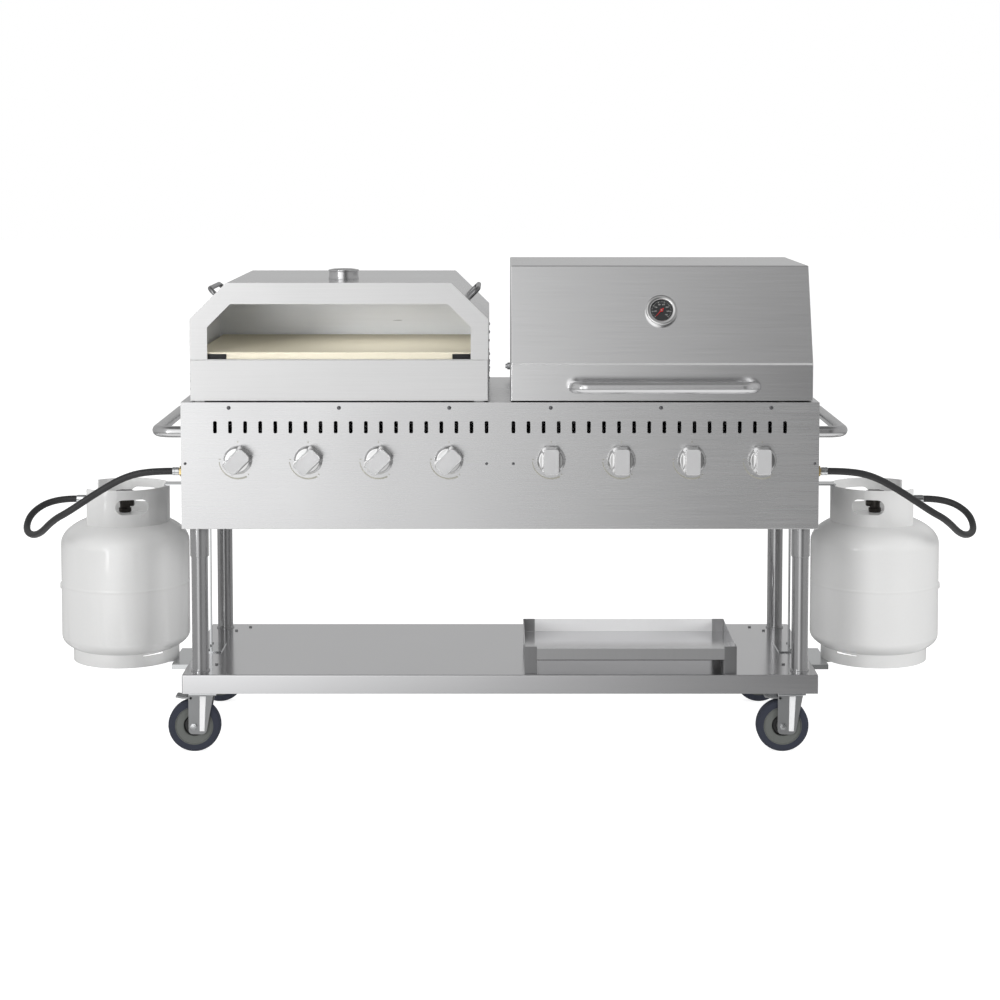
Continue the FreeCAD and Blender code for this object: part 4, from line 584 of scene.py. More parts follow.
HOOD_STEEL = sheet_steel("hood_sheet_steel", (0.82, 0.82, 0.825), 0.2, 1.0, (5, 420, 420), patch_scale=2.5,
                         rough_spread=0.04, bump=0.03)
# Steel for the hood's crease faces, partly diffuse so the fill lamps light it: a painted highlight along the
# crease
PAINTED_CREASE_HIGHLIGHT = sheet_steel("painted_crease_highlight_steel", (0.62, 0.62, 0.62), 0.5, 0.6, (5, 420, 420), patch_scale=3.0,
                         tint_spread=0.03)
# Near-white steel that is almost no metal: a painted reflection on the tray's rear wall and a painted
# highlight on the fork ribs
PAINTED_HIGHLIGHT_STEEL = sheet_steel("painted_highlight_white_steel", (0.9, 0.9, 0.905), 0.36, 0.05, (5, 360, 360), patch_scale=4.0,
                         tint_spread=0.03)
PAN_STEEL = sheet_steel("polished_pan_base", (0.95, 0.95, 0.95), 0.08, 1.0, (5, 360, 360), patch_scale=4.0,
                        tint_spread=0.02, rough_spread=0.03, bump=0.01)
# Darker steel: painted shade on the tray's rear posts and on the pan's front face
PAINTED_SHADE_POST_STEEL = sheet_steel("post_steel_painted_shade", (0.45, 0.45, 0.455), 0.4, 1.0, (360, 360, 5), patch_scale=6.0,
                         bump=0.03)
# Dark steel: painted shade on the tray's front corner posts
PAINTED_SHADE_CORNER_STEEL = sheet_steel("corner_steel_painted_shade", (0.3, 0.3, 0.305), 0.3, 1.0, (160, 160, 5), patch_scale=4.0,
                           rough_spread=0.05)
TUBE = Finish("polished_tube", "polished_steel", (0.62, 0.62, 0.625), 0.24, 1.0, grain_scale=700.0,
              patch_scale=14.0, tint_spread=0.03, rough_spread=0.05)
LEG_TUBE = replace(TUBE, name="satin_leg_tube", colour=(0.38, 0.38, 0.385), roughness=0.12, metallic=0.72)
GRIP_TUBE = replace(TUBE, name="satin_grip_tube", colour=(0.66, 0.66, 0.665), roughness=0.18, metallic=0.85)
DULL_TUBE = Finish("dull_tube", "polished_steel", (0.34, 0.34, 0.345), 0.3, 1.0, grain_scale=500.0,
                   patch_scale=20.0, bump=0.03)
CHROME = Finish("knob_chrome", "polished_steel", (0.72, 0.72, 0.72), 0.12, 1.0, grain_scale=900.0,
                patch_scale=40.0, tint_spread=0.02, rough_spread=0.05, bump=0.015)
KNOB_FACE = replace(CHROME, name="satin_knob_face", colour=(0.52, 0.52, 0.525), roughness=0.32,
                    metallic=0.12,
                    coat=0.1)
ZINC = Finish("zinc_plate", "zinc_plate", (0.66, 0.67, 0.68), 0.28, 1.0, grain_scale=260.0,
              patch_scale=30.0,
              tint_spread=0.06, rough_spread=0.08, bump=0.04)
DULL_ZINC = replace(ZINC, name="dull_zinc_plate", colour=(0.34, 0.345, 0.35), roughness=0.42)
SCREW = Finish("dark_screw_steel", "polished_steel", (0.16, 0.16, 0.17), 0.35, 1.0, grain_scale=800.0,
               patch_scale=60.0)
# Near-black: the stone clips' own colour, and a painted shadow line on the tray pan's lower front fold
CLIP_BLACK_AND_PAINTED_SHADOW = Finish("blackened_clip_and_painted_shadow", "polished_steel", (0.03, 0.03, 0.032), 0.45, 0.7, grain_scale=500.0,
              patch_scale=40.0, tint_spread=0.2, rough_spread=0.1, bump=0.1)
ENAMEL = Finish("white_tank_enamel", "white_enamel", (0.74, 0.74, 0.735), 0.42, coat=0.6, grain_scale=180.0,
                patch_scale=7.0, tint_spread=0.015, patch_tint=0.02, rough_spread=0.05, bump=0.08,
                bump_depth=0.3)
STONE = Finish("fired_stone", "fired_stone", (0.66, 0.60, 0.45), 0.85, grain_scale=240.0, patch_scale=9.0,
               tint_spread=0.14, patch_tint=0.12, rough_spread=0.08, bump=0.35, bump_depth=0.6)
IRON = Finish("seasoned_iron", "grate_iron", (0.035, 0.034, 0.033), 0.5, 0.6, grain_scale=420.0,
              patch_scale=16.0, tint_spread=0.25, rough_spread=0.12, bump=0.35, bump_depth=0.5)
BRASS = Finish("plain_brass", "brass", (0.72, 0.55, 0.24), 0.26, 1.0, grain_scale=500.0, patch_scale=40.0,
               tint_spread=0.08)
DARK_BRASS = Finish("blackened_brass", "blackened_brass", (0.05, 0.048, 0.045), 0.4, 0.5, grain_scale=500.0,
                    patch_scale=40.0, tint_spread=0.15)
RUBBER = Finish("hose_rubber", "black_rubber", (0.022, 0.022, 0.023), 0.48, grain_scale=520.0,
                patch_scale=18.0,
                tint_spread=0.2, rough_spread=0.1, bump=0.12, bump_depth=0.3)
TYRE = Finish("tyre_rubber", "tyre_rubber", (0.003, 0.0035, 0.009), 0.6, grain_scale=420.0,
              patch_scale=22.0,
              sheen=0.05, tint_spread=0.2, rough_spread=0.1, bump=0.18, bump_depth=0.3)
HUB = Finish("grey_hub_plastic", "grey_plastic", (0.125, 0.132, 0.124), 0.55, grain_scale=600.0,
             patch_scale=25.0, tint_spread=0.1, rough_spread=0.08, bump=0.1)
# Black: the handwheels' own colour, and painted shade in the caster hubs' sunken ring
BLACK_AND_PAINTED_SHADE = Finish("black_moulding_and_painted_shade", "black_plastic", (0.02, 0.02, 0.02), 0.4, grain_scale=700.0,
               patch_scale=30.0,
               tint_spread=0.2, rough_spread=0.1, bump=0.08)
DIAL = Finish("dial_black", "gauge_chrome", (0.015, 0.016, 0.017), 0.35, coat=0.3, grain_scale=900.0,
              patch_scale=80.0, tint_spread=0.1)
MARKING = Finish("dial_white", "gauge_chrome", (0.42, 0.42, 0.41), 0.5, grain_scale=900.0, patch_scale=80.0)
NEEDLE = Finish("needle_red", "needle_paint", (0.42, 0.015, 0.015), 0.4, grain_scale=900.0,
                patch_scale=80.0)
PRINT = Finish("grey_panel_print", "brushed_sheet", (0.54, 0.53, 0.47), 0.5, 0.85, grain_scale=800.0,
               patch_scale=60.0)


def paint(piece: Piece, finish: Finish) -> Piece:
    """Give a piece one finish all over."""
    piece.data.materials.clear()
    piece.data.materials.append(finish.material())
    return piece


def refinish(piece: Piece, finish: Finish, test: Test) -> Piece:
    """Give some faces of a painted piece another finish.

    Args:
        piece: The piece.
        finish: The other finish.
        test: Takes the middle and the normal of a face, and says whether it gets that finish.

    Returns:
        The same piece.
    """
    piece.data.materials.append(finish.material())
    for face in piece.data.polygons:
        if test(face.center, face.normal):
            face.material_index = len(piece.data.materials) - 1
    return piece


def fit(piece: Piece, finish: Finish, body: str, *nodes: str) -> Piece:
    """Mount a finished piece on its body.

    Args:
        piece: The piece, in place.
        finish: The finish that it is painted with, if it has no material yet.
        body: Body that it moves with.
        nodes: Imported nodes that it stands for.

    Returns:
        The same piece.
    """
    if not piece.data.materials:
        paint(piece, finish)
    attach(piece, body)
    if nodes:
        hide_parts(*nodes)
    log.info("%s on %s, for %s", piece.name, body, ", ".join(nodes) or "no node")
    return piece


@dataclass
class Studio:
    """Camera, floor and soft light."""

    camera_back: float = 5085.0
    camera_height: float = 1450.0
    pitch: float = 3.94
    lens: float = 77.24
    sensor: float = 36.0
    shift: float = -0.2
    floor_size: float = 60.0
    far_left: float = 0.6
    zones: tuple[tuple[str, Flat, float], ...] = (
        ("X", (-0.62, -0.36), 1.68),
        ("X", (-0.24, 0.19), 0.13),
        ("X", (0.35, 0.7), 0.5),
        ("Y", (-0.1, 0.5), 0.52),
        ("Z", (0.45, 1.0), 0.5),
        ("Z", (0.76, 0.97), 0.15),
        ("Z", (-0.16, -0.36), 0.34),
        ("Z", (-0.42, -0.6), 1.1),
    )

    def set_camera(self) -> None:
        """Stand the camera where the photograph was taken from."""
        data = bpy.data.cameras.new("camera")
        data.lens = self.lens
        data.sensor_width = self.sensor
        data.shift_y = self.shift
        camera = bpy.data.objects.new("camera", data)
        camera.location = place(0, -self.camera_back, self.camera_height)
        camera.rotation_euler = (math.radians(90 - self.pitch), 0, 0)
        bpy.context.scene.collection.objects.link(camera)
        bpy.context.scene.camera = camera

    def set_floor(self) -> None:
        """A plain pale floor, which reads as a white backdrop and stays out of reflections."""
        floor = fresh("studio_floor", bpy.ops.mesh.primitive_plane_add, size=self.floor_size,
                      location=ORIGIN)
        floor.visible_glossy = False
        pale = bpy.data.materials.new("pale_floor")
        pale.use_nodes = True
        shader = pale.node_tree.nodes["Principled BSDF"]
        fill(shader, {"Base Color": (0.6, 0.6, 0.6, 1), "Roughness": 0.9,
                      "Emission Color": (0.8, 0.8, 0.8, 1)})
        rays = pale.node_tree.nodes.new("ShaderNodeLightPath")
        wire(pale.node_tree, rays, "Is Camera Ray", shader, "Emission Strength")
        floor.data.materials.append(pale)

    def fade(self, tree: Tree, along: Socket, limits: Flat, first: float | Socket, second: float) -> Socket:
        """Brightness that changes smoothly along a direction.

        Args:
            tree: Node tree of the world.
            along: The direction's part along one axis.
            limits: Where the change starts and ends.
            first: Brightness before the change.
            second: Brightness after it.

        Returns:
            The brightness.
        """
        share = tree.nodes.new("ShaderNodeMapRange")
        share.interpolation_type = "SMOOTHSTEP"
        fill(share, {"From Min": limits[0], "From Max": limits[1]})
        tree.links.new(along, share.inputs["Value"])
        mix = tree.nodes.new("ShaderNodeMix")
        fill(mix, {"B": second})
        wire(tree, share, "Result", mix, "Factor")
        if isinstance(first, Socket):
            tree.links.new(first, mix.inputs["A"])
        else:
            fill(mix, {"A": first})
        return mix.outputs["Result"]

    def set_world(self) -> None:
        """Soft surroundings, bright on the left and dim on the right, behind a white backdrop."""
        world = bpy.data.worlds.new("studio_world")
        bpy.context.scene.world = world
        world.use_nodes = True
        tree = world.node_tree
        coordinates = tree.nodes.new("ShaderNodeTexCoord")
        split = tree.nodes.new("ShaderNodeSeparateXYZ")
        wire(tree, coordinates, "Generated", split, "Vector")
        level = self.far_left
        for axis, limits, brightness in self.zones:
            level = self.fade(tree, split.outputs[axis], limits, level, brightness)
        soft = tree.nodes["Background"]
        backdrop = tree.nodes.new("ShaderNodeBackground")
        for background in (soft, backdrop):
            fill(background, {"Color": (1, 1, 1, 1)})
        tree.links.new(level, soft.inputs["Strength"])
        rays = tree.nodes.new("ShaderNodeLightPath")
        mix = tree.nodes.new("ShaderNodeMixShader")
        wire(tree, rays, "Is Camera Ray", mix, "Fac")
        wire(tree, soft, "Background", mix, 1)
        wire(tree, backdrop, "Background", mix, 2)
        wire(tree, mix, "Shader", tree.nodes["World Output"], "Surface")
        bpy.context.scene.view_settings.view_transform = "Standard"

    def add_light(self, name: str, at: Point, size: Flat, power: float, glints: bool = False,
                  toward: Point = (0, 0, 0.7), spread: float = 180.0) -> None:
        """A soft light that faces the grill.

        Args:
            name: Name of the light.
            at: Where it hangs.
            size: Its width and height.
            power: Its power in watts.
            glints: Whether polished metal mirrors it.
            toward: Point that it faces.
            spread: Width of its beam in degrees.
        """
        data = bpy.data.lights.new(name, "AREA")
        data.shape = "RECTANGLE"
        data.size, data.size_y = size
        data.energy = power
        data.spread = math.radians(spread)
        lamp = bpy.data.objects.new(name, data)
        lamp.location = at
        lamp.visible_glossy = glints
        lamp.visible_camera = False
        facing = Vector(toward) - Vector(at)
        lamp.rotation_euler = facing.to_track_quat("-Z", "Y").to_euler()
        bpy.context.scene.collection.objects.link(lamp)

    def build(self) -> None:
        """Set up everything but the object."""
        self.set_camera()
        self.set_floor()
        self.set_world()
        self.add_light("left_strip", (-3.0, -4.2, 1.0), (0.5, 2.4), 22.0, True)
        self.add_light("left_fill", (-8.0, -5.5, 2.6), (4.0, 3.0), 250.0)
        self.add_light("right_fill", (8.0, -5.5, 2.6), (4.0, 3.0), 430.0)
        self.add_light("front_fill", (0.0, -5.5, 3.2), (6.0, 3.0), 18.0)
        self.add_light("top_fill", (0.0, 0.0, 4.0), (6.0, 4.0), 55.0)
        self.add_light("oven_front_fill", (-1.5, -2.4, 1.4), (0.5, 0.3), 1.0, toward=(-0.3, 0.1, 1.0),
                       spread=28.0)
        self.add_light("oven_roof_fill", (-0.25, deep(230), 1.13), (0.4, 0.3), 0.55,
                       toward=(-0.25, deep(230), 0.9))


@dataclass
class GasHose:
    """A rubber hose from the end wall to the regulator on a tank."""

    side: int
    diameter: float = 17.0
    length: float = 0.675
    route: tuple[Point, ...] = (
        (791, 60, 681), (846, 60, 681), (908, 64, 667), (977, 66, 627), (1044, 58, 582), (1085, 76, 559),
        (1134, 124, 510), (1179, 188, 510), (1177, 247, 549), (1123, 281, 578), (1067, 281, 578),
    )

    def build(self) -> None:
        """Lay the hose along its route."""
        name = SIDE_NAMES[self.side]
        curve = bpy.data.curves.new(f"gas_hose_{name}", "CURVE")
        curve.dimensions = "3D"
        curve.bevel_depth = self.diameter / 2 * MM
        curve.bevel_resolution = 6
        curve.resolution_u = 10
        curve.use_fill_caps = True
        spline = curve.splines.new("NURBS")
        spline.points.add(len(self.route) - 1)
        for point, (across, back, up) in zip(spline.points, self.route):
            point.co = (*place(self.side * across, back, up), 1)
        spline.order_u = 3
        spline.use_endpoint_u = True
        hose = bpy.data.objects.new(f"gas_hose_{name}", curve)
        bpy.context.scene.collection.objects.link(hose)
        fit(hose, RUBBER, "frame", f"hose_{name}")
        across, back, up = self.route[0]


@dataclass
class Stand:
    """Undershelf and legs."""

    channel: float = 86.0
    channel_foot: float = 164.0
    channel_inset: float = 20.0
    leg_line: float = 726.0

    def shelf(self) -> Piece:
        """The pressed shelf with its two stiffeners."""
        low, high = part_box("undershelf")
        parts = [open_sheet(block("undershelf_pan", low, high), faces(DOWN), 3.0)]
        half, inset = self.channel / 2 * MM, self.channel_inset * MM
        for side in SIDES:
            centre = side * CASTER_LINE * MM
            rail = block("stiffener", (centre - half, low.y + inset, self.channel_foot * MM),
                         (centre + half, high.y - inset, high.z - SHEET * MM))
            open_sheet(rail, lambda middle, normal: normal.z > 0.9 or abs(normal.y) > 0.9, 2.0)
            parts.append(rail)
        return joined("undershelf_pressing", parts)

    def legs(self) -> Piece:
        """Four posts with a foot ring and a top sleeve."""
        profile = [(0, SHELF_TOP), (23, SHELF_TOP), (23, 198.5), (20.6, 199.5), (20, 201), (20, 476),
                   (21.2, 476), *quarter(21.2, 478, 1.3, -90), (22.5, 546), (21.8, 550), (0, 550)]
        post = shade(lathe("leg_post", profile, 56))
        copies = []
        for side in SIDES:
            for row in ROWS.values():
                copies.append(copied(post, "leg", place(side * self.leg_line, row, 0)))
        bpy.data.objects.remove(post)
        return joined("leg_tubes", copies)

    def build(self) -> None:
        """Model and dress the stand."""
        fit(self.shelf(), SHELF_STEEL, "frame", "undershelf")
        fit(self.legs(), LEG_TUBE, "frame", "legs")


@dataclass
class Caster:
    """One swivel caster with its fork, wheel and brake."""

    spot: str
    across: float
    row: float
    offset: float = 28.0
    axle_height: float = 63.5
    brake_offset: float = 35.0
    brake_height: float = 133.0

    @property
    def wheel_at(self) -> Point:
        """Middle of the wheel."""
        return place(self.across - self.offset, self.row, self.axle_height)

    def tyre(self) -> Piece:
        """A round-shouldered tyre with a worn centre groove."""
        profile = [(46.5, -16), (56, -16), *quarter(56.5, -9, 7, -90, 5), (63.5, -1.6), (62.6, -1),
                   (62.6, 1),
                   (63.5, 1.6), *quarter(56.5, 9, 7, 0, 5), (56, 16), (46.5, 16)]
        return aim(shade(lathe(f"tyre_{self.spot}", profile, 72), 50), self.wheel_at, FRONTWARD)

    def hub(self) -> Piece:
        """A dished hub with a rim lip, a sunken ring and a boss."""
        half = [(46.5, 15), (45, 15), (44, 13), (28, 13), (26, 12), (25, 8), (23, 6), (16, 6), (14, 8),
                (14, 16),
                (12.5, 17), (5.05, 17)]
        profile = [(radius, -up) for radius, up in reversed(half)] + half
        wheel = paint(shade(lathe(f"hub_{self.spot}", profile, 72)), HUB)
        # The sunken ring is black: painted shade in the recess
        refinish(wheel, BLACK_AND_PAINTED_SHADE, lambda middle, normal: 14.5 * MM < middle.xy.length < 25 * MM)
        return aim(wheel, self.wheel_at, FRONTWARD)

    def cheek(self, side: int) -> Piece:
        """One side plate of the fork, rounded at its foot, with a rib."""
        inner, outer = deep(self.row) + side * 18 * MM, deep(self.row) + side * 21 * MM
        shapes = ([(-41, 44), (2, 44), (20, 140), (-41, 140)], [(-14, 52), (-2, 52), (2, 138), (-13, 138)])
        body, rib = (metres([(self.across + x, z) for x, z in shape]) for shape in shapes)
        plate = outline("fork_cheek", body, Direction.Y, inner, outer)
        round_edges(plate, 11, 6, lambda middle, along: abs(along.y) > 0.9 and middle.z < 50 * MM)
        strip = outline("fork_rib", rib, Direction.Y, outer - side * MM, outer + side * 1.6 * MM)
        paint(soften(plate, 1.0, 3), DULL_ZINC)
        # The rib is near-white: a painted highlight down the fork cheek
        paint(soften(strip, 0.9, 3), PAINTED_HIGHLIGHT_STEEL)
        return joined("fork_cheek", [plate, strip])

    def fork(self) -> Piece:
        """Cheeks, crown, ball race and the axle with its nuts."""
        x, y = self.across, self.row
        crown = slab("fork_crown", (x - 41, y - 21, 139), (x + 27, y + 21, 144))
        rings = [(0, 144), (24, 144), (26, 145), (27, 147), (27, 150), (25.4, 151), (25.4, 152.4),
                 (27, 153.4),
                 (27, 158), (26, 159.7), (0, 159.7)]
        race = aim(shade(lathe("ball_race", rings)), place(x, y, 0))
        half = [(5, 21), (8.4, 21), (8.4, 25), (5, 25), (5, 26), (0, 26)]
        axle = lathe("axle", [(radius, -up) for radius, up in reversed(half)] + half, 6)
        aim(soften(axle, 0.5), self.wheel_at, FRONTWARD)
        metal = [paint(piece, ZINC) for piece in (soften(crown, 1.4, 3), race, axle)]
        return joined(f"fork_{self.spot}", [*metal, self.cheek(-1), self.cheek(1)])

    def brake(self) -> Piece:
        """A foot pedal with a raised end."""
        x, y, up = self.across - self.brake_offset, self.row, self.brake_height
        pedal = slab("brake_pad", (x - 22, y - 17, up - 2.5), (x + 6, y + 17, up + 2.5))
        with editing(pedal):
            pick("FACE", faces(LEFTWARD))
            for forward, rise in ((10, 2.4), (5, 0)):
                push = (-forward * MM, 0, rise * MM)
                bpy.ops.mesh.extrude_region_move(TRANSFORM_OT_translate={"value": push})
        pin = lathe("brake_pin", [(0, -21), (3, -21), (3, 21), (0, 21)], 24)
        aim(pin, place(x, y, up), FRONTWARD)
        return joined(f"brake_{self.spot}", [soften(pedal, 1.2, 3), shade(pin)])

    def build(self) -> None:
        """Model and dress the caster."""
        fit(self.tyre(), TYRE, f"wheel_{self.spot}", f"caster_tyre_{self.spot}")
        fit(self.hub(), HUB, f"wheel_{self.spot}", f"caster_hub_{self.spot}")
        fit(self.fork(), ZINC, f"fork_{self.spot}", f"caster_fork_{self.spot}")
        if self.spot.startswith("front"):
            fit(self.brake(), DULL_ZINC, f"brake_{self.spot}", f"caster_brake_{self.spot}")


@dataclass
class ControlPanel:
    """Front panel with vent slots, printed knob scales and screws."""

    bottom: float = 550.0
    flange: float = 20.0
    vent_count: int = 19
    vent_pitch: float = 36.0
    vent_start: float = 32.0
    vent_half: float = 4.4
    vent_ends: Flat = (781.0, 810.0)
    scale_radius: float = 45.0
    scale_start: float = 186.0
    scale_sweep: float = 112.0
    scale_steps: int = 24
    tick_radius: float = 43.0
    upper_screws: float = 842.0
    lower_screws: float = 708.0

    def sheet_metal(self) -> Piece:
        """A folded panel with rounded folds and two rows of vents."""
        back, low, high, top = self.flange + SHEET, self.bottom, TOP_FRAME - SHEET, TOP_FRAME
        fold = [(0, low), (back, low), (back, low + SHEET), (SHEET, low + SHEET), (SHEET, high - SHEET),
                (back, high - SHEET), (back, high), (SHEET, high), (SHEET, top), (0, top)]
        corners = [(deep(distance), up * MM) for distance, up in fold]
        panel = outline("panel_fold", corners, Direction.X, -BODY_HALF * MM, BODY_HALF * MM)
        front, foot = deep(0) + 1e-5, low * MM + 1e-4
        round_edges(panel, 1.3, 3,
                    lambda middle, along: abs(along.x) > 0.9 and middle.y < front and middle.z < foot)
        for side in SIDES:
            carve(panel, self.vents(side))
        return soften(panel, 0.35, 1, 40)

    def vents(self, side: int) -> Piece:
        """The cutter for a row of round-ended slots on one side."""
        middle = side * self.vent_start
        low, high = self.vent_ends
        slot = slab("vent_slot", (middle - self.vent_half, -4, low), (middle + self.vent_half, 6, high))
        round_edges(slot, 3.2, 5, runs(Direction.Y))
        return modify(slot, "ARRAY", count=self.vent_count, use_relative_offset=False,
                      use_constant_offset=True,
                      constant_offset_displace=(side * self.vent_pitch * MM, 0, 0))

    def scale(self, across: float) -> Piece:
        """The printed ring segment and ticks round one knob."""
        parts = []
        for number in range(self.scale_steps):
            first, second = (math.radians(self.scale_start + self.scale_sweep * step / self.scale_steps)
                             for step in (number, number + 1))
            wide = 1.0 + 1.2 * number / self.scale_steps
            inner, outer = self.scale_radius - wide, self.scale_radius + wide
            ring = ((first, inner), (first, outer), (second, outer), (second, inner))
            parts.append([(across + radius * math.cos(turn), KNOB_HEIGHT + radius * math.sin(turn))
                          for turn, radius in ring])
        for angle, length in ((90, 5), (178, 5), (306, 4)):
            turn = math.radians(angle)
            ahead = Vector((math.cos(turn), math.sin(turn)))
            aside = Vector((-math.sin(turn), math.cos(turn)))
            middle = Vector((across, KNOB_HEIGHT)) + ahead * self.tick_radius
            reach = ahead * length / 2
            parts.append([middle - reach - aside, middle + reach - aside, middle + reach + aside,
                          middle - reach + aside])
        marks = [outline("scale_mark", metres(part), Direction.Y, deep(0.05),
                         deep(-0.12)) for part in parts]
        return joined("knob_scale", marks)

    def fasteners(self) -> Piece:
        """Dome screws on the panel and hexagon bolts on the shelf."""
        dome = [(0, -6), (2.4, -6), (2.4, 0), (4.75, 0), (4.6, 1.2), (3.6, 2.3), (2, 2.9), (1.2, 3),
                (1.0, 1.8),
                (0, 1.8)]
        screw = paint(shade(lathe("dome_screw", dome, 24)), SCREW)
        hexagon = [(0, -9), (2.5, -9), (2.5, 0), (4.2, 0), (4.2, 3), (0, 3)]
        bolt = paint(soften(lathe("hex_bolt", hexagon, 6), 0.6), DULL_ZINC)
        bolt_spots = ((695, 105, SHELF_TOP), (692, 478, SHELF_TOP), (660, 520, SHELF_TOP), (735, 245, 199),
                      (735, 320, 199))
        parts = []
        for side in SIDES:
            for across in (121, 384, 647):
                parts.append(aim(copied(screw, "screw"), place(side * across, 0, self.upper_screws),
                                 FRONTWARD))
            for across in (32, 752):
                small = copied(screw, "screw")
                small.scale = (0.72, 0.72, 0.8)
                parts.append(aim(settle(small), place(side * across, 0, self.lower_screws), FRONTWARD))
            for across, row, up in bolt_spots:
                parts.append(aim(copied(bolt, "bolt"), place(side * across, row, up)))
        for start in (screw, bolt):
            bpy.data.objects.remove(start)
        return joined("screws_and_bolts", parts)

    def build(self) -> None:
        """Model and dress the panel."""
        fit(self.sheet_metal(), BRUSHED, "frame", "control_panel")
        scales = [self.scale(across) for across in Knob.places()]
        fit(joined("knob_scales", scales), PRINT, "frame")
        fit(self.fasteners(), SCREW, "frame", "fasteners")


@dataclass
class Knob:
    """One control knob with a broad grip, on its stem."""

    number: int
    stand: float = 1.5
    grip_top: float = 38.0
    left_turn: float = 135.0

    @staticmethod
    def places() -> list[float]:
        """X of the eight knobs, in millimetres, from left to right."""
        right = [122 + 168 * step for step in range(4)]
        return [-across for across in reversed(right)] + right

    def build(self) -> None:
        """Model and dress the knob."""
        profile = [(0, -61), (4, -61), (4, 0), (33.4, 0), (34, 0.8), (34, 3.6), (33.2, 5), (30.2, 10.5),
                   (29, 11.6), (27, 12), (0, 12)]
        skirt = paint(shade(lathe("knob_skirt", profile, 72), 30), CHROME)
        grip = blank("knob_grip", (-22, -32.5, 9), (22, 32.5, self.grip_top))
        with editing(grip):
            pick("FACE", faces(UP))
            bpy.ops.transform.resize(value=(0.84, 0.97, 1), center_override=(0, 0, self.grip_top * MM))
        round_edges(grip, 9, 6, runs(Direction.Z, 0.8))
        paint(soften(grip, 2.2, 4), CHROME)
        refinish(grip, KNOB_FACE, faces(UP))
        knob = joined(f"control_knob_{self.number}", [skirt, grip])
        across = self.places()[self.number - 1]
        aim(knob, place(across, -self.stand, KNOB_HEIGHT), FRONTWARD, self.left_turn if across < 0 else 0)
        fit(knob, CHROME, f"knob_{self.number}", f"knob_{self.number}")


@dataclass
class PushHandles:
    """The tube handles on the two end walls."""

    spread: float = 460.0
    reach: float = 69.0
    diameter: float = 28.0
    bend: float = 40.0
    front_foot: float = 60.0
    height: float = 777.0

    def build(self) -> None:
        """Model and dress both handles."""
        tube = bent_tube("push_tube", self.spread, self.reach, self.diameter, self.bend)
        ring = lathe("foot_ring", [(14, 0), (19, 0), (19, 1.5), (17.5, 3), (14, 3)], 40)
        rings = [copied(shade(ring), "foot", (side * self.spread / 2 * MM, 0, 0)) for side in SIDES]
        bpy.data.objects.remove(ring)
        right = aim(joined("push_handle_right", [tube, *rings]), ORIGIN, UP, 90)
        right.rotation_euler = (0, math.radians(90), 0)
        right.location = place(BODY_HALF, self.front_foot + self.spread / 2, self.height)
        settle(right)
        left = mirror(right, "push_handle_left")
        fit(joined("push_handle_tubes", [right, left]), TUBE, "frame", "push_handles")


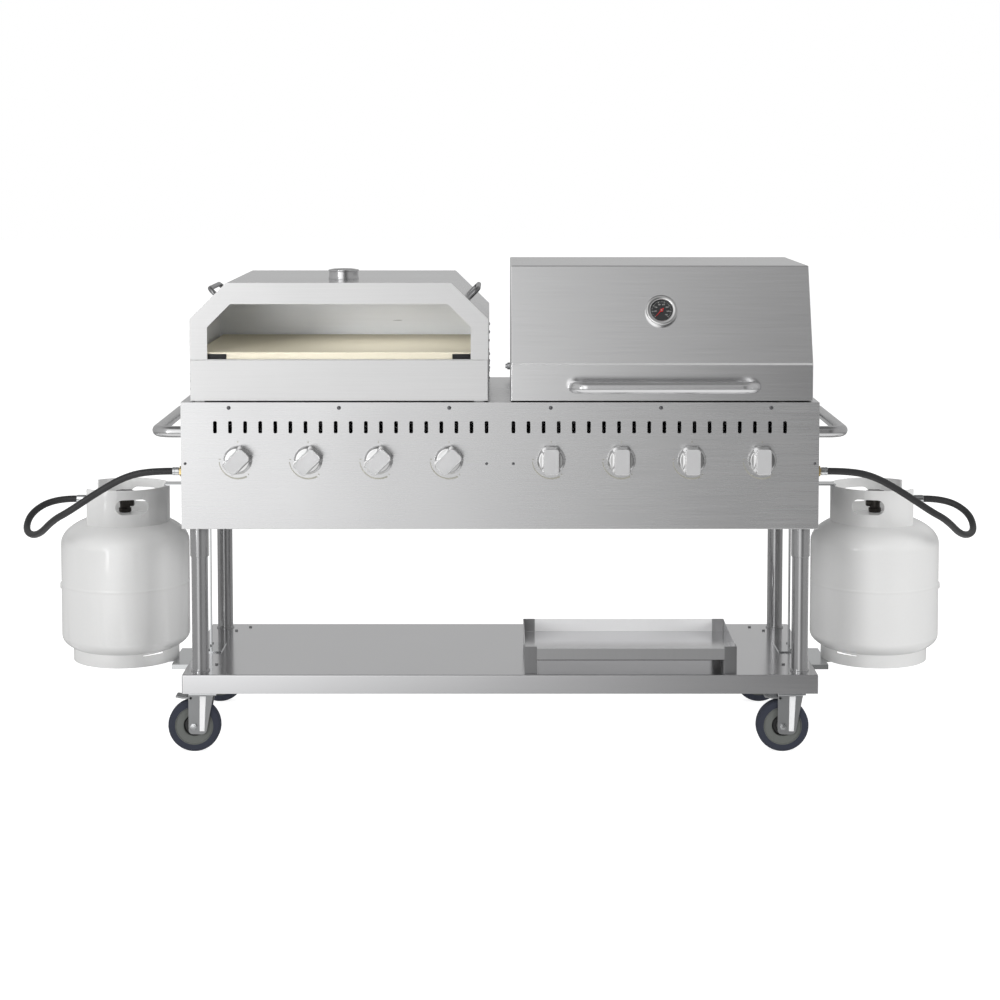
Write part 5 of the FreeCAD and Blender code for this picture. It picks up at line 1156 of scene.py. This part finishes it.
@dataclass
class Hood:
    """The hinged hood with its handle, hinge bolts and thermometer."""

    left: float = 26.0
    right: float = 748.0
    hinge: Flat = (535.0, 889.0)
    handle_at: Point = (390.0, 10.0, 895.0)
    gauge: Point = (388.0, 61.94, 1067.9)
    slope: Flat = (98.0, 230.0)
    dial_start: float = 225.0
    dial_sweep: float = 270.0
    dial_ticks: int = 28
    dial_numbers: int = 7
    number_radius: float = 15.5
    needle_turn: float = 137.0

    @property
    def outward(self) -> Vector:
        """Direction that the sloping front faces."""
        run, rise = self.slope
        return Vector((0, -rise, run)).normalized()

    def shell(self) -> Piece:
        """A folded hood, open below, with a hem along its front edge."""
        foot = COVER_FOOT
        points = [(10, foot), (10, 946), (108, 1176), (534, 1176), (550, 1160), (550, foot + 4),
                  (546, foot)]
        corners = [(deep(back), up * MM) for back, up in points]
        hood = outline("hood_fold", corners, Direction.X, self.left * MM, self.right * MM)
        open_sheet(hood, faces(DOWN, 0.95), 2.6)
        hem = slab("hood_hem", (self.left + 4, 11.6, foot), (self.right - 4, 21, foot + 1.6))
        slots = []
        for edge in (self.left + 1.6, self.right - 7.6):
            slots.append(slab("ear_slot", (edge, 534, 850), (edge + 6, 556, 915)))
        carve(hood, joined("ear_slots", slots))
        paint(shade(hood), HOOD_STEEL)
        # The crease faces between skirt and slope get their own steel: a painted highlight along the crease
        refinish(hood, PAINTED_CREASE_HIGHLIGHT, lambda middle, normal: normal.y < -0.9 and 0.04 < normal.z < 0.38)
        return joined("hood_folded_sheet", [hood, paint(soften(hem, 0.5), HOOD_STEEL)])

    def handle(self) -> Piece:
        """The hood's tube handle."""
        return aim(bent_tube("hood_handle_tube", 432, 58, 28, 34), place(*self.handle_at), FRONTWARD)

    def hinge_bolts(self) -> Piece:
        """A shouldered bolt and nut at each lower rear corner."""
        profile = [(0, -11.1), (6.5, -11.1), (7, -10.6), (7, -5.6), (6.5, -5.1), (4, -5.1), (4, 0), (9, 0),
                   (9.5, 0.6), (9.5, 6), (8, 7.4), (6.4, 7.4), (6.4, 11.4), (5.6, 12), (0, 12)]
        bolt = shade(lathe("hinge_bolt", profile, 36))
        right = aim(copied(bolt, "hinge_bolt_right"), place(self.right, *self.hinge), RIGHTWARD)
        left = aim(bolt, place(self.left, *self.hinge), LEFTWARD)
        return joined("hinge_bolt_pair", [left, right])

    def dial(self) -> list[Piece]:
        """Dial face with ticks and numbers, lying in the case."""
        parts = [paint(lathe("dial_face", [(0, 6.8), (28, 6.8), (28, 7.1), (0, 7.1)], 64), DIAL)]
        for number in range(self.dial_ticks + 1):
            width, inner = (0.5, 19.5) if number % 4 == 0 else (0.25, 21.5)
            tick = blank("tick", (inner, -width, 7.0), (24, width, 7.25))
            angle = self.dial_start - self.dial_sweep * number / self.dial_ticks
            parts.append(paint(aim(tick, ORIGIN, UP, angle), MARKING))
        for number in range(1, self.dial_numbers + 1):
            angle = math.radians(self.dial_start - self.dial_sweep * number / self.dial_numbers)
            reach = self.number_radius * MM
            spot = (reach * math.cos(angle), reach * math.sin(angle), 7.1 * MM)
            text = fresh("dial_number", bpy.ops.object.text_add, location=spot).data
            text.body = str(number * 100)
            text.size = 4.4 * MM
            text.extrude = 0.06 * MM
            text.align_x = "CENTER"
            text.align_y = "CENTER"
            bpy.ops.object.convert(target="MESH")
            parts.append(paint(settle(named("dial_number")), MARKING))
        return parts

    def thermometer(self) -> Piece:
        """A round chrome case with its probe and dial."""
        profile = [(0, -70), (3, -70), (4, -69), (4, 0), (37.4, 0), *quarter(34.5, 10.5, 3.5, 0, 5),
                   (29.5, 14),
                   (27.5, 13), (26.5, 11), (26, 7), (1.5, 7), (1.5, 11), (0, 11)]
        case = paint(shade(lathe("thermometer_cup", profile, 72), 50), CHROME)
        return aim(joined("thermometer_gauge", [case, *self.dial()]), place(*self.gauge), self.outward)

    def needle(self) -> Piece:
        """The pointer, with a counterweight tail."""
        hub = lathe("needle_hub", [(1.55, 8.6), (4, 8.6), (4, 9.4), (3.4, 9.9), (1.55, 9.9)], 32)
        points = [(-1.5, -7), (1.5, -7), (1.2, 0), (0.35, 22), (-0.35, 22), (-1.2, 0)]
        blade = outline("needle_blade", metres(points), Direction.Z, 8.7 * MM, 9.3 * MM)
        pointer = joined("thermometer_pointer", [shade(hub), blade])
        return aim(pointer, place(*self.gauge), self.outward, self.needle_turn)

    def build(self) -> None:
        """Model and dress the hood."""
        fit(self.shell(), HOOD_STEEL, "hood", "hood_shell")
        fit(self.handle(), GRIP_TUBE, "hood", "hood_handle")
        fit(self.hinge_bolts(), ZINC, "hood", "hinge_bolts")
        fit(self.thermometer(), CHROME, "hood", "thermometer_case")
        fit(self.needle(), NEEDLE, "needle", "thermometer_needle")


@dataclass
class PizzaOven:
    """The lift-off pizza oven on the left bay."""

    left: float = -740.0
    right: float = -28.0
    front: float = 10.0
    rear: float = 555.0
    deck: float = 956.0
    eave: float = 1054.0
    top: float = 1140.0
    slope_run: float = 88.0
    flange: float = 26.0
    hem: float = 34.0
    foot: float = 24.0
    foot_inset: float = 10.0
    mouth_inset: float = 42.0
    mouth_top: float = 1089.0
    mouth_corner: float = 55.0
    clip: float = 44.0
    vent_at: Point = (-384.0, 180.0, 0.0)
    handle_row: float = 275.0

    def shape(self) -> list[Flat]:
        """Outline of the oven's front above its deck, in metres."""
        left, right, run = self.left, self.right, self.slope_run
        return metres([(left, self.deck), (right, self.deck), (right, self.eave), (right - run, self.top),
                       (left + run, self.top), (left, self.eave)])

    def base(self) -> Piece:
        """Box base with a deck flange, a hem below and feet."""
        left, right, front, rear, low = self.left, self.right, self.front, self.rear, COVER_FOOT
        box = slab("oven_base_box", (left, front, low), (right, rear, self.deck))
        with editing(box):
            pick("FACE", faces(UP))
            bpy.ops.mesh.inset(thickness=self.flange * MM)
            bpy.ops.mesh.delete(type="FACE")
        open_sheet(box, faces(DOWN), 2.0)
        hem = slab("oven_base_hem", (left + 1, front + 1, low), (right - 1, rear - 1, low + SHEET))
        hole = slab("hem_opening", (left + self.hem, front + self.hem, low - 8),
                    (right - self.hem, rear - self.hem, low + 12))
        parts = [box, soften(carve(hem, hole), 0.4)]
        for x in (left + self.foot_inset, right - self.foot_inset - self.foot):
            for y in (front + self.foot_inset, rear - self.foot_inset - self.foot):
                foot = slab("oven_foot", (x, y, TOP_FRAME), (x + self.foot, y + self.foot, low + 0.4))
                parts.append(soften(foot, 0.6))
        return joined("oven_base_sheet", parts)

    def fascia(self) -> Piece:
        """Front frame round the mouth."""
        left, right = self.left + self.mouth_inset, self.right - self.mouth_inset
        low, top, corner = self.deck + SHEET, self.mouth_top, self.mouth_corner
        mouth = [(left, low), (right, low), (right, top - corner), (right - corner, top),
                 (left + corner, top),
                 (left, top - corner)]
        front, back = deep(self.front), deep(self.front + SHEET)
        plate = outline("fascia_plate", self.shape(), Direction.Y, front, back)
        carve(plate, outline("fascia_mouth", metres(mouth), Direction.Y, front - 0.01, back + 0.01))
        return soften(plate, 0.5)

    def roof(self) -> Piece:
        """Folded roof with sides and a back."""
        roof = outline("oven_roof_fold", self.shape(), Direction.Y, deep(self.front + SHEET),
                       deep(self.rear))
        open_sheet(roof, lambda middle, normal: normal.z < -0.9 or normal.y < -0.9, 2.4)
        heart = Vector(place((self.left + self.right) / 2, (self.front + self.rear) / 2, 1040))
        paint(roof, HOOD_STEEL)
        return refinish(roof, INNER_STEEL, lambda middle, normal: normal.dot(heart - middle) > 0)

    def rivets(self) -> Piece:
        """Small rivet heads down both sides of the oven."""
        rivet = shade(lathe("rivet", [(0, -1), (4, -1), (4, 0.6), (3.2, 1.8), (1.6, 2.4), (0, 2.5)], 20))
        parts = []
        for edge, facing in ((self.right, RIGHTWARD), (self.left, LEFTWARD)):
            for up in (1000, 979, 921, 903, 885):
                for back in (26, 282, 538):
                    parts.append(aim(copied(rivet, "rivet"), place(edge, back, up), facing))
        bpy.data.objects.remove(rivet)
        return joined("oven_rivets", parts)

    def vent_cap(self) -> Piece:
        """A short drum with a rolled top edge."""
        profile = [(0, 1142), (30, 1142), (30, 1140), (37, 1140), (37.5, 1141), (37.5, 1144), (36, 1145.5),
                   (36, 1156), *quarter(34.5, 1161, 3, -60, 5), (30, 1164), (27, 1162), (0, 1162)]
        return aim(shade(lathe("oven_vent_drum", profile, 56), 50), place(*self.vent_at))

    def stone(self) -> Piece:
        """The pizza stone, with worn corners."""
        low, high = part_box("pizza_stone")
        return soften(block("pizza_stone_slab", low, high), 2.0, 3)

    def clips(self) -> Piece:
        """Black clips at the stone's front corners."""
        parts = []
        for x in (self.left + self.mouth_inset, self.right - self.mouth_inset - self.clip):
            plate = slab("stone_clip", (x, 19, self.deck), (x + self.clip, 22, self.deck + 13))
            lip = slab("stone_clip_lip", (x, 16, self.deck + 1.6), (x + self.clip, 19.2, self.deck + 3.4))
            parts += [soften(plate, 0.5), soften(lip, 0.4)]
        return joined("stone_clip_pair", parts)

    def handles(self) -> Piece:
        """Two bent handles on the roof's slopes."""
        right = aim(bent_tube("oven_handle_tube", 190, 26, 12, 14), ORIGIN, UP, 90)
        right.rotation_euler = (0, math.atan2(self.top - self.eave, self.slope_run), 0)
        right.location = place(self.right - self.slope_run / 2, self.handle_row, (self.eave + self.top) / 2)
        settle(right)
        left = mirror(right, "oven_handle_left", (self.left + self.right) / 2 * MM)
        return joined("oven_handle_pair", [right, left])

    def build(self) -> None:
        """Model and dress the oven."""
        fit(self.base(), OVEN_STEEL, "oven", "oven_base")
        fit(self.fascia(), OVEN_STEEL, "oven", "oven_fascia")
        fit(self.roof(), HOOD_STEEL, "oven", "oven_roof")
        fit(self.rivets(), ZINC, "oven")
        fit(self.vent_cap(), TUBE, "oven", "oven_vent_cap")
        fit(self.stone(), STONE, "oven", "pizza_stone")
        fit(self.clips(), CLIP_BLACK_AND_PAINTED_SHADOW, "oven", "stone_clips")
        fit(self.handles(), DULL_TUBE, "oven", "oven_handles")


@dataclass
class PropaneTanks:
    """The two propane tanks, made on the right and mirrored to the left."""

    across: float = 946.0
    row: float = 281.0
    foot: float = 175.0
    radius: float = 160.0
    shoulder: float = 295.0
    outlet_height: float = 403.0
    inlet_at: Point = (BODY_HALF, 60.0, 681.0)

    @property
    def at(self) -> Point:
        """Middle of the right tank's foot."""
        return place(self.across, self.row, self.foot)

    def pair(self, name: str, piece: Piece) -> Piece:
        """A piece at the right tank and its mirror image at the left one."""
        aim(piece, self.at)
        return joined(name, [piece, mirror(piece, name + "_left")])

    def vessel(self) -> Piece:
        """Pressed vessel with domed ends, a weld bead round its waist and a plug on its outer side."""
        wide, turns = self.radius, [math.radians(angle) for angle in range(0, 90, 6)]
        lower = [(wide * math.sin(turn), 64 - 55 * math.cos(turn)) for turn in turns]
        upper = [(wide * math.cos(turn), self.shoulder + 75 * math.sin(turn)) for turn in turns]
        bead = [(wide, 188.5), (wide, 191.5), (wide + 0.3, 193), (wide + 0.4, 195), (wide + 0.3, 197),
                (wide, 198.5), (wide, 201.5)]
        body = shade(lathe("tank_body", [*lower, (wide, 64), *bead, *upper, (0, 370)], 96), 50)
        plug = lathe("tank_plug", [(0, -3), (9, -3), (9, 4), (7.5, 6), (0, 6)], 24)
        aim(shade(plug), (wide * MM, 0, 183 * MM), RIGHTWARD)
        return joined("tank_vessel", [body, plug])

    def ring(self, name: str, inner: float, outer: float, low: float, high: float) -> Piece:
        """A plain sheet ring."""
        return lathe(name, [(inner, low), (outer, low), (outer, high), (inner, high)], 96)

    def collar(self) -> Piece:
        """Guard collar, open to the outside, with two hand holes."""
        wall = self.ring("tank_collar_wall", 109, 112, 340, 440)
        carve(wall, blank("collar_gap", (0, -75, 330), (200, 75, 450)))
        for turn in (161, 19):
            hole = blank("hand_hole", (-40, 60, 379.5), (40, 150, 416.5))
            round_edges(hole, 18, 8, runs(Direction.Y))
            carve(wall, aim(hole, ORIGIN, UP, turn))
        return soften(wall, 1.2, 3, 50)

    def foot_ring(self) -> Piece:
        """Foot ring with vent slots under the vessel."""
        wall = self.ring("tank_foot_wall", 129, 132, 0, 44)
        for turn in (20, 140, 260):
            carve(wall, aim(blank("foot_slot", (-29, 100, 27), (29, 160, 33)), ORIGIN, UP, turn))
        return soften(wall, 1.0, 3, 50)

    def valve(self) -> Piece:
        """Valve body with its outlet and a safety plug."""
        profile = [(0, 362), (14, 362), (14, 371), (16, 372), (16, 380), (13, 382), (13, 409), (10, 413),
                   (5.6, 413), (5.6, 393), (0, 393)]
        stalk = lathe("valve_stalk", profile, 36)
        outlet = lathe("valve_outlet", [(0, 9), (9, 9), (9, 27), (8, 28), (0, 28)], 32)
        aim(shade(outlet), (0, 0, self.outlet_height * MM), RIGHTWARD)
        relief = lathe("valve_relief", [(0, 9), (8, 9), (8, 20), (6, 23), (0, 23)], 24)
        aim(shade(relief), (0, 0, 392 * MM), LEFTWARD)
        return joined("tank_valve_body", [shade(stalk), outlet, relief])

    def handwheel(self) -> Piece:
        """Lobed handwheel on its spindle."""
        steps, lobes = 72, 6
        points = []
        for step in range(steps):
            angle = math.tau * step / steps
            radius = 22 + 2 * math.cos(lobes * angle)
            points.append((radius * math.cos(angle), radius * math.sin(angle)))
        wheel = soften(outline("wheel_rim", metres(points), Direction.Z, 416 * MM, 424 * MM), 2.0, 3, 60)
        spindle = lathe("wheel_spindle", [(0, 395), (5, 395), (5, 417), (0, 417)], 24)
        return joined("handwheel_black", [wheel, shade(spindle)])

    def regulator(self) -> Piece:
        """Coupling nut with grip ribs and the hose's end ferrule, along the valve's outlet."""
        ribs = 12
        profile = [(0, 28), (14, 28), (15.4, 29), (16, 31), (16, 66), (15, 68), (11.5, 70), (11.5, 74),
                   (9, 74),
                   (9, 80), (10, 81), (10, 119), (9.4, 121), (0, 121)]
        parts = [shade(lathe("coupling_nut", profile, 40))]
        for number in range(ribs):
            rib = soften(blank("grip_rib", (14.6, -1.3, 34), (16.8, 1.3, 62)), 0.5)
            parts.append(aim(rib, ORIGIN, UP, 360 / ribs * number))
        return aim(joined("regulator_coupling", parts), (0, 0, self.outlet_height * MM), RIGHTWARD)

    def inlet(self) -> list[Piece]:
        """Brass nut on the end wall, and the steel ferrule of the hose."""
        nut = soften(lathe("inlet_nut", [(0, 0), (13, 0), (13, 12), (0, 12)], 6), 0.8)
        profile = [(0, 12), (8, 12), (8, 14), (10, 14.6), (10, 22), (9.4, 22.6), (9.4, 24), (10, 24.6),
                   (10, 28.4), (9.4, 29), (0, 29)]
        ferrule = lathe("inlet_ferrule", profile, 36)
        pieces = [paint(nut, BRASS), paint(shade(ferrule), ZINC)]
        return [aim(piece, place(*self.inlet_at), RIGHTWARD) for piece in pieces]

    def build(self) -> None:
        """Model and dress both tanks."""
        fit(self.pair("tank_vessels", self.vessel()), ENAMEL, "frame", "propane_tanks")
        guard = joined("tank_guard", [self.collar(), self.foot_ring()])
        fit(self.pair("tank_guards", guard), ENAMEL, "frame", "tank_rings")
        fit(self.pair("tank_valve_bodies", self.valve()), DARK_BRASS, "frame", "tank_valves")
        wheel = aim(self.handwheel(), self.at)
        left = mirror(wheel, "handwheel_black_left")
        fit(wheel, BLACK_AND_PAINTED_SHADE, "valve_wheel_right", "handwheel_right")
        fit(left, BLACK_AND_PAINTED_SHADE, "valve_wheel_left", "handwheel_left")
        coupling = aim(paint(self.regulator(), ZINC), self.at)
        right = joined("gas_fittings_right", [coupling, *self.inlet()])
        both = joined("gas_fitting_set", [right, mirror(right, "gas_fittings_left")])
        fit(both, BRASS, "frame", "gas_fittings")


@dataclass
class ShelfTray:
    """The loose tray on the undershelf."""

    left: float = 59.0
    right: float = 571.0
    front: float = 17.0
    rear: float = 329.0
    rim: float = 261.0
    floor: float = 227.0
    dip: float = 5.0
    post: float = 30.0
    post_sheet: float = 2.0
    slack: float = 0.4

    def pan(self) -> Piece:
        """A folded pan whose front wall is a little lower between the posts."""
        slack = self.slack
        pan = slab("tray_pan", (self.left + slack, self.front + slack, self.floor),
                   (self.right - slack, self.rear - slack, self.rim - slack))
        open_sheet(pan, faces(UP), 2.0)
        notch = slab("tray_dip", (self.left + self.post, self.front - 5, self.rim - self.dip),
                     (self.right - self.post, self.front + 4, self.rim + 5))
        return shade(carve(pan, notch))

    def corner_post(self, x: float, y: float, inward: int, rearward: int) -> Piece:
        """An angle post at one corner, from the shelf to the rim."""
        wide, thick = self.post, self.post_sheet
        plan = [(0, 0), (wide, 0), (wide, thick), (thick, thick), (thick, wide), (0, wide)]
        corners = [((x + inward * across) * MM, deep(y + rearward * back)) for across, back in plan]
        return soften(outline("tray_post", corners, Direction.Z, SHELF_TOP * MM, self.rim * MM), 0.6)

    def build(self) -> None:
        """Model and dress the tray."""
        rear, front, edge = deep(self.rear - 10), deep(self.front + 1), deep(self.front + 5)
        pan = paint(self.pan(), SHELF_STEEL)
        # The rear wall's inner face is near-white: a painted reflection
        refinish(pan, PAINTED_HIGHLIGHT_STEEL, lambda middle, normal: normal.y < -0.9 and middle.y > rear)
        refinish(pan, PAN_STEEL, faces(DOWN))
        # The pan's front face is darker steel: painted shade
        refinish(pan, PAINTED_SHADE_POST_STEEL, lambda middle, normal: normal.y < -0.9 and middle.y < front)
        # The lower front fold is near-black: a painted shadow line
        refinish(pan, CLIP_BLACK_AND_PAINTED_SHADOW, lambda middle, normal: max(normal.y, normal.z) < -0.2 and middle.y < edge)
        parts = [pan]
        for x, inward in ((self.left, 1), (self.right, -1)):
            # The corner posts are darker steel than the pan: painted shade, darkest at the front
            for y, rearward, finish in ((self.front, 1, PAINTED_SHADE_CORNER_STEEL), (self.rear, -1, PAINTED_SHADE_POST_STEEL)):
                parts.append(paint(self.corner_post(x, y, inward, rearward), finish))
        fit(joined("loose_tray_pan", parts), SHELF_STEEL, "loose_tray", "shelf_tray")


def dress_works(nodes: dict[str, Piece]) -> None:
    """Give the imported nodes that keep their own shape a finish.

    Args:
        nodes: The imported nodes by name.
    """
    finishes = {
        END_STEEL: ("burner_box",),
        BRUSHED: ("rear_panel", "top_frame", "heat_plates", "drip_tray_left", "drip_tray_right"),
        ZINC: ("caster_plates", "gas_manifold", "tank_brackets"),
        TUBE: ("burners",),
        BRASS: ("gas_valves",),
        IRON: ("cooking_grates",),
    }
    for finish, names in finishes.items():
        for name in names:
            paint(nodes[name], finish)
            log.info("%s keeps its shape in %s", name, finish.name)


def main() -> None:
    """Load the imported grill, then model and dress its pieces in order."""
    logging.basicConfig(level=logging.INFO, format="%(name)s: %(message)s")
    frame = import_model()
    Studio().build()
    for side in SIDES:
        GasHose(side).build()
    Stand().build()
    for row_name, row in ROWS.items():
        for side in SIDES:
            Caster(f"{row_name}_{SIDE_NAMES[side]}", side * CASTER_LINE, row).build()
    ControlPanel().build()
    for number in range(1, len(Knob.places()) + 1):
        Knob(number).build()
    PushHandles().build()
    Hood().build()
    PizzaOven().build()
    PropaneTanks().build()
    ShelfTray().build()
    dress_works(frame["nodes"])


if __name__ == "__main__":
    main()
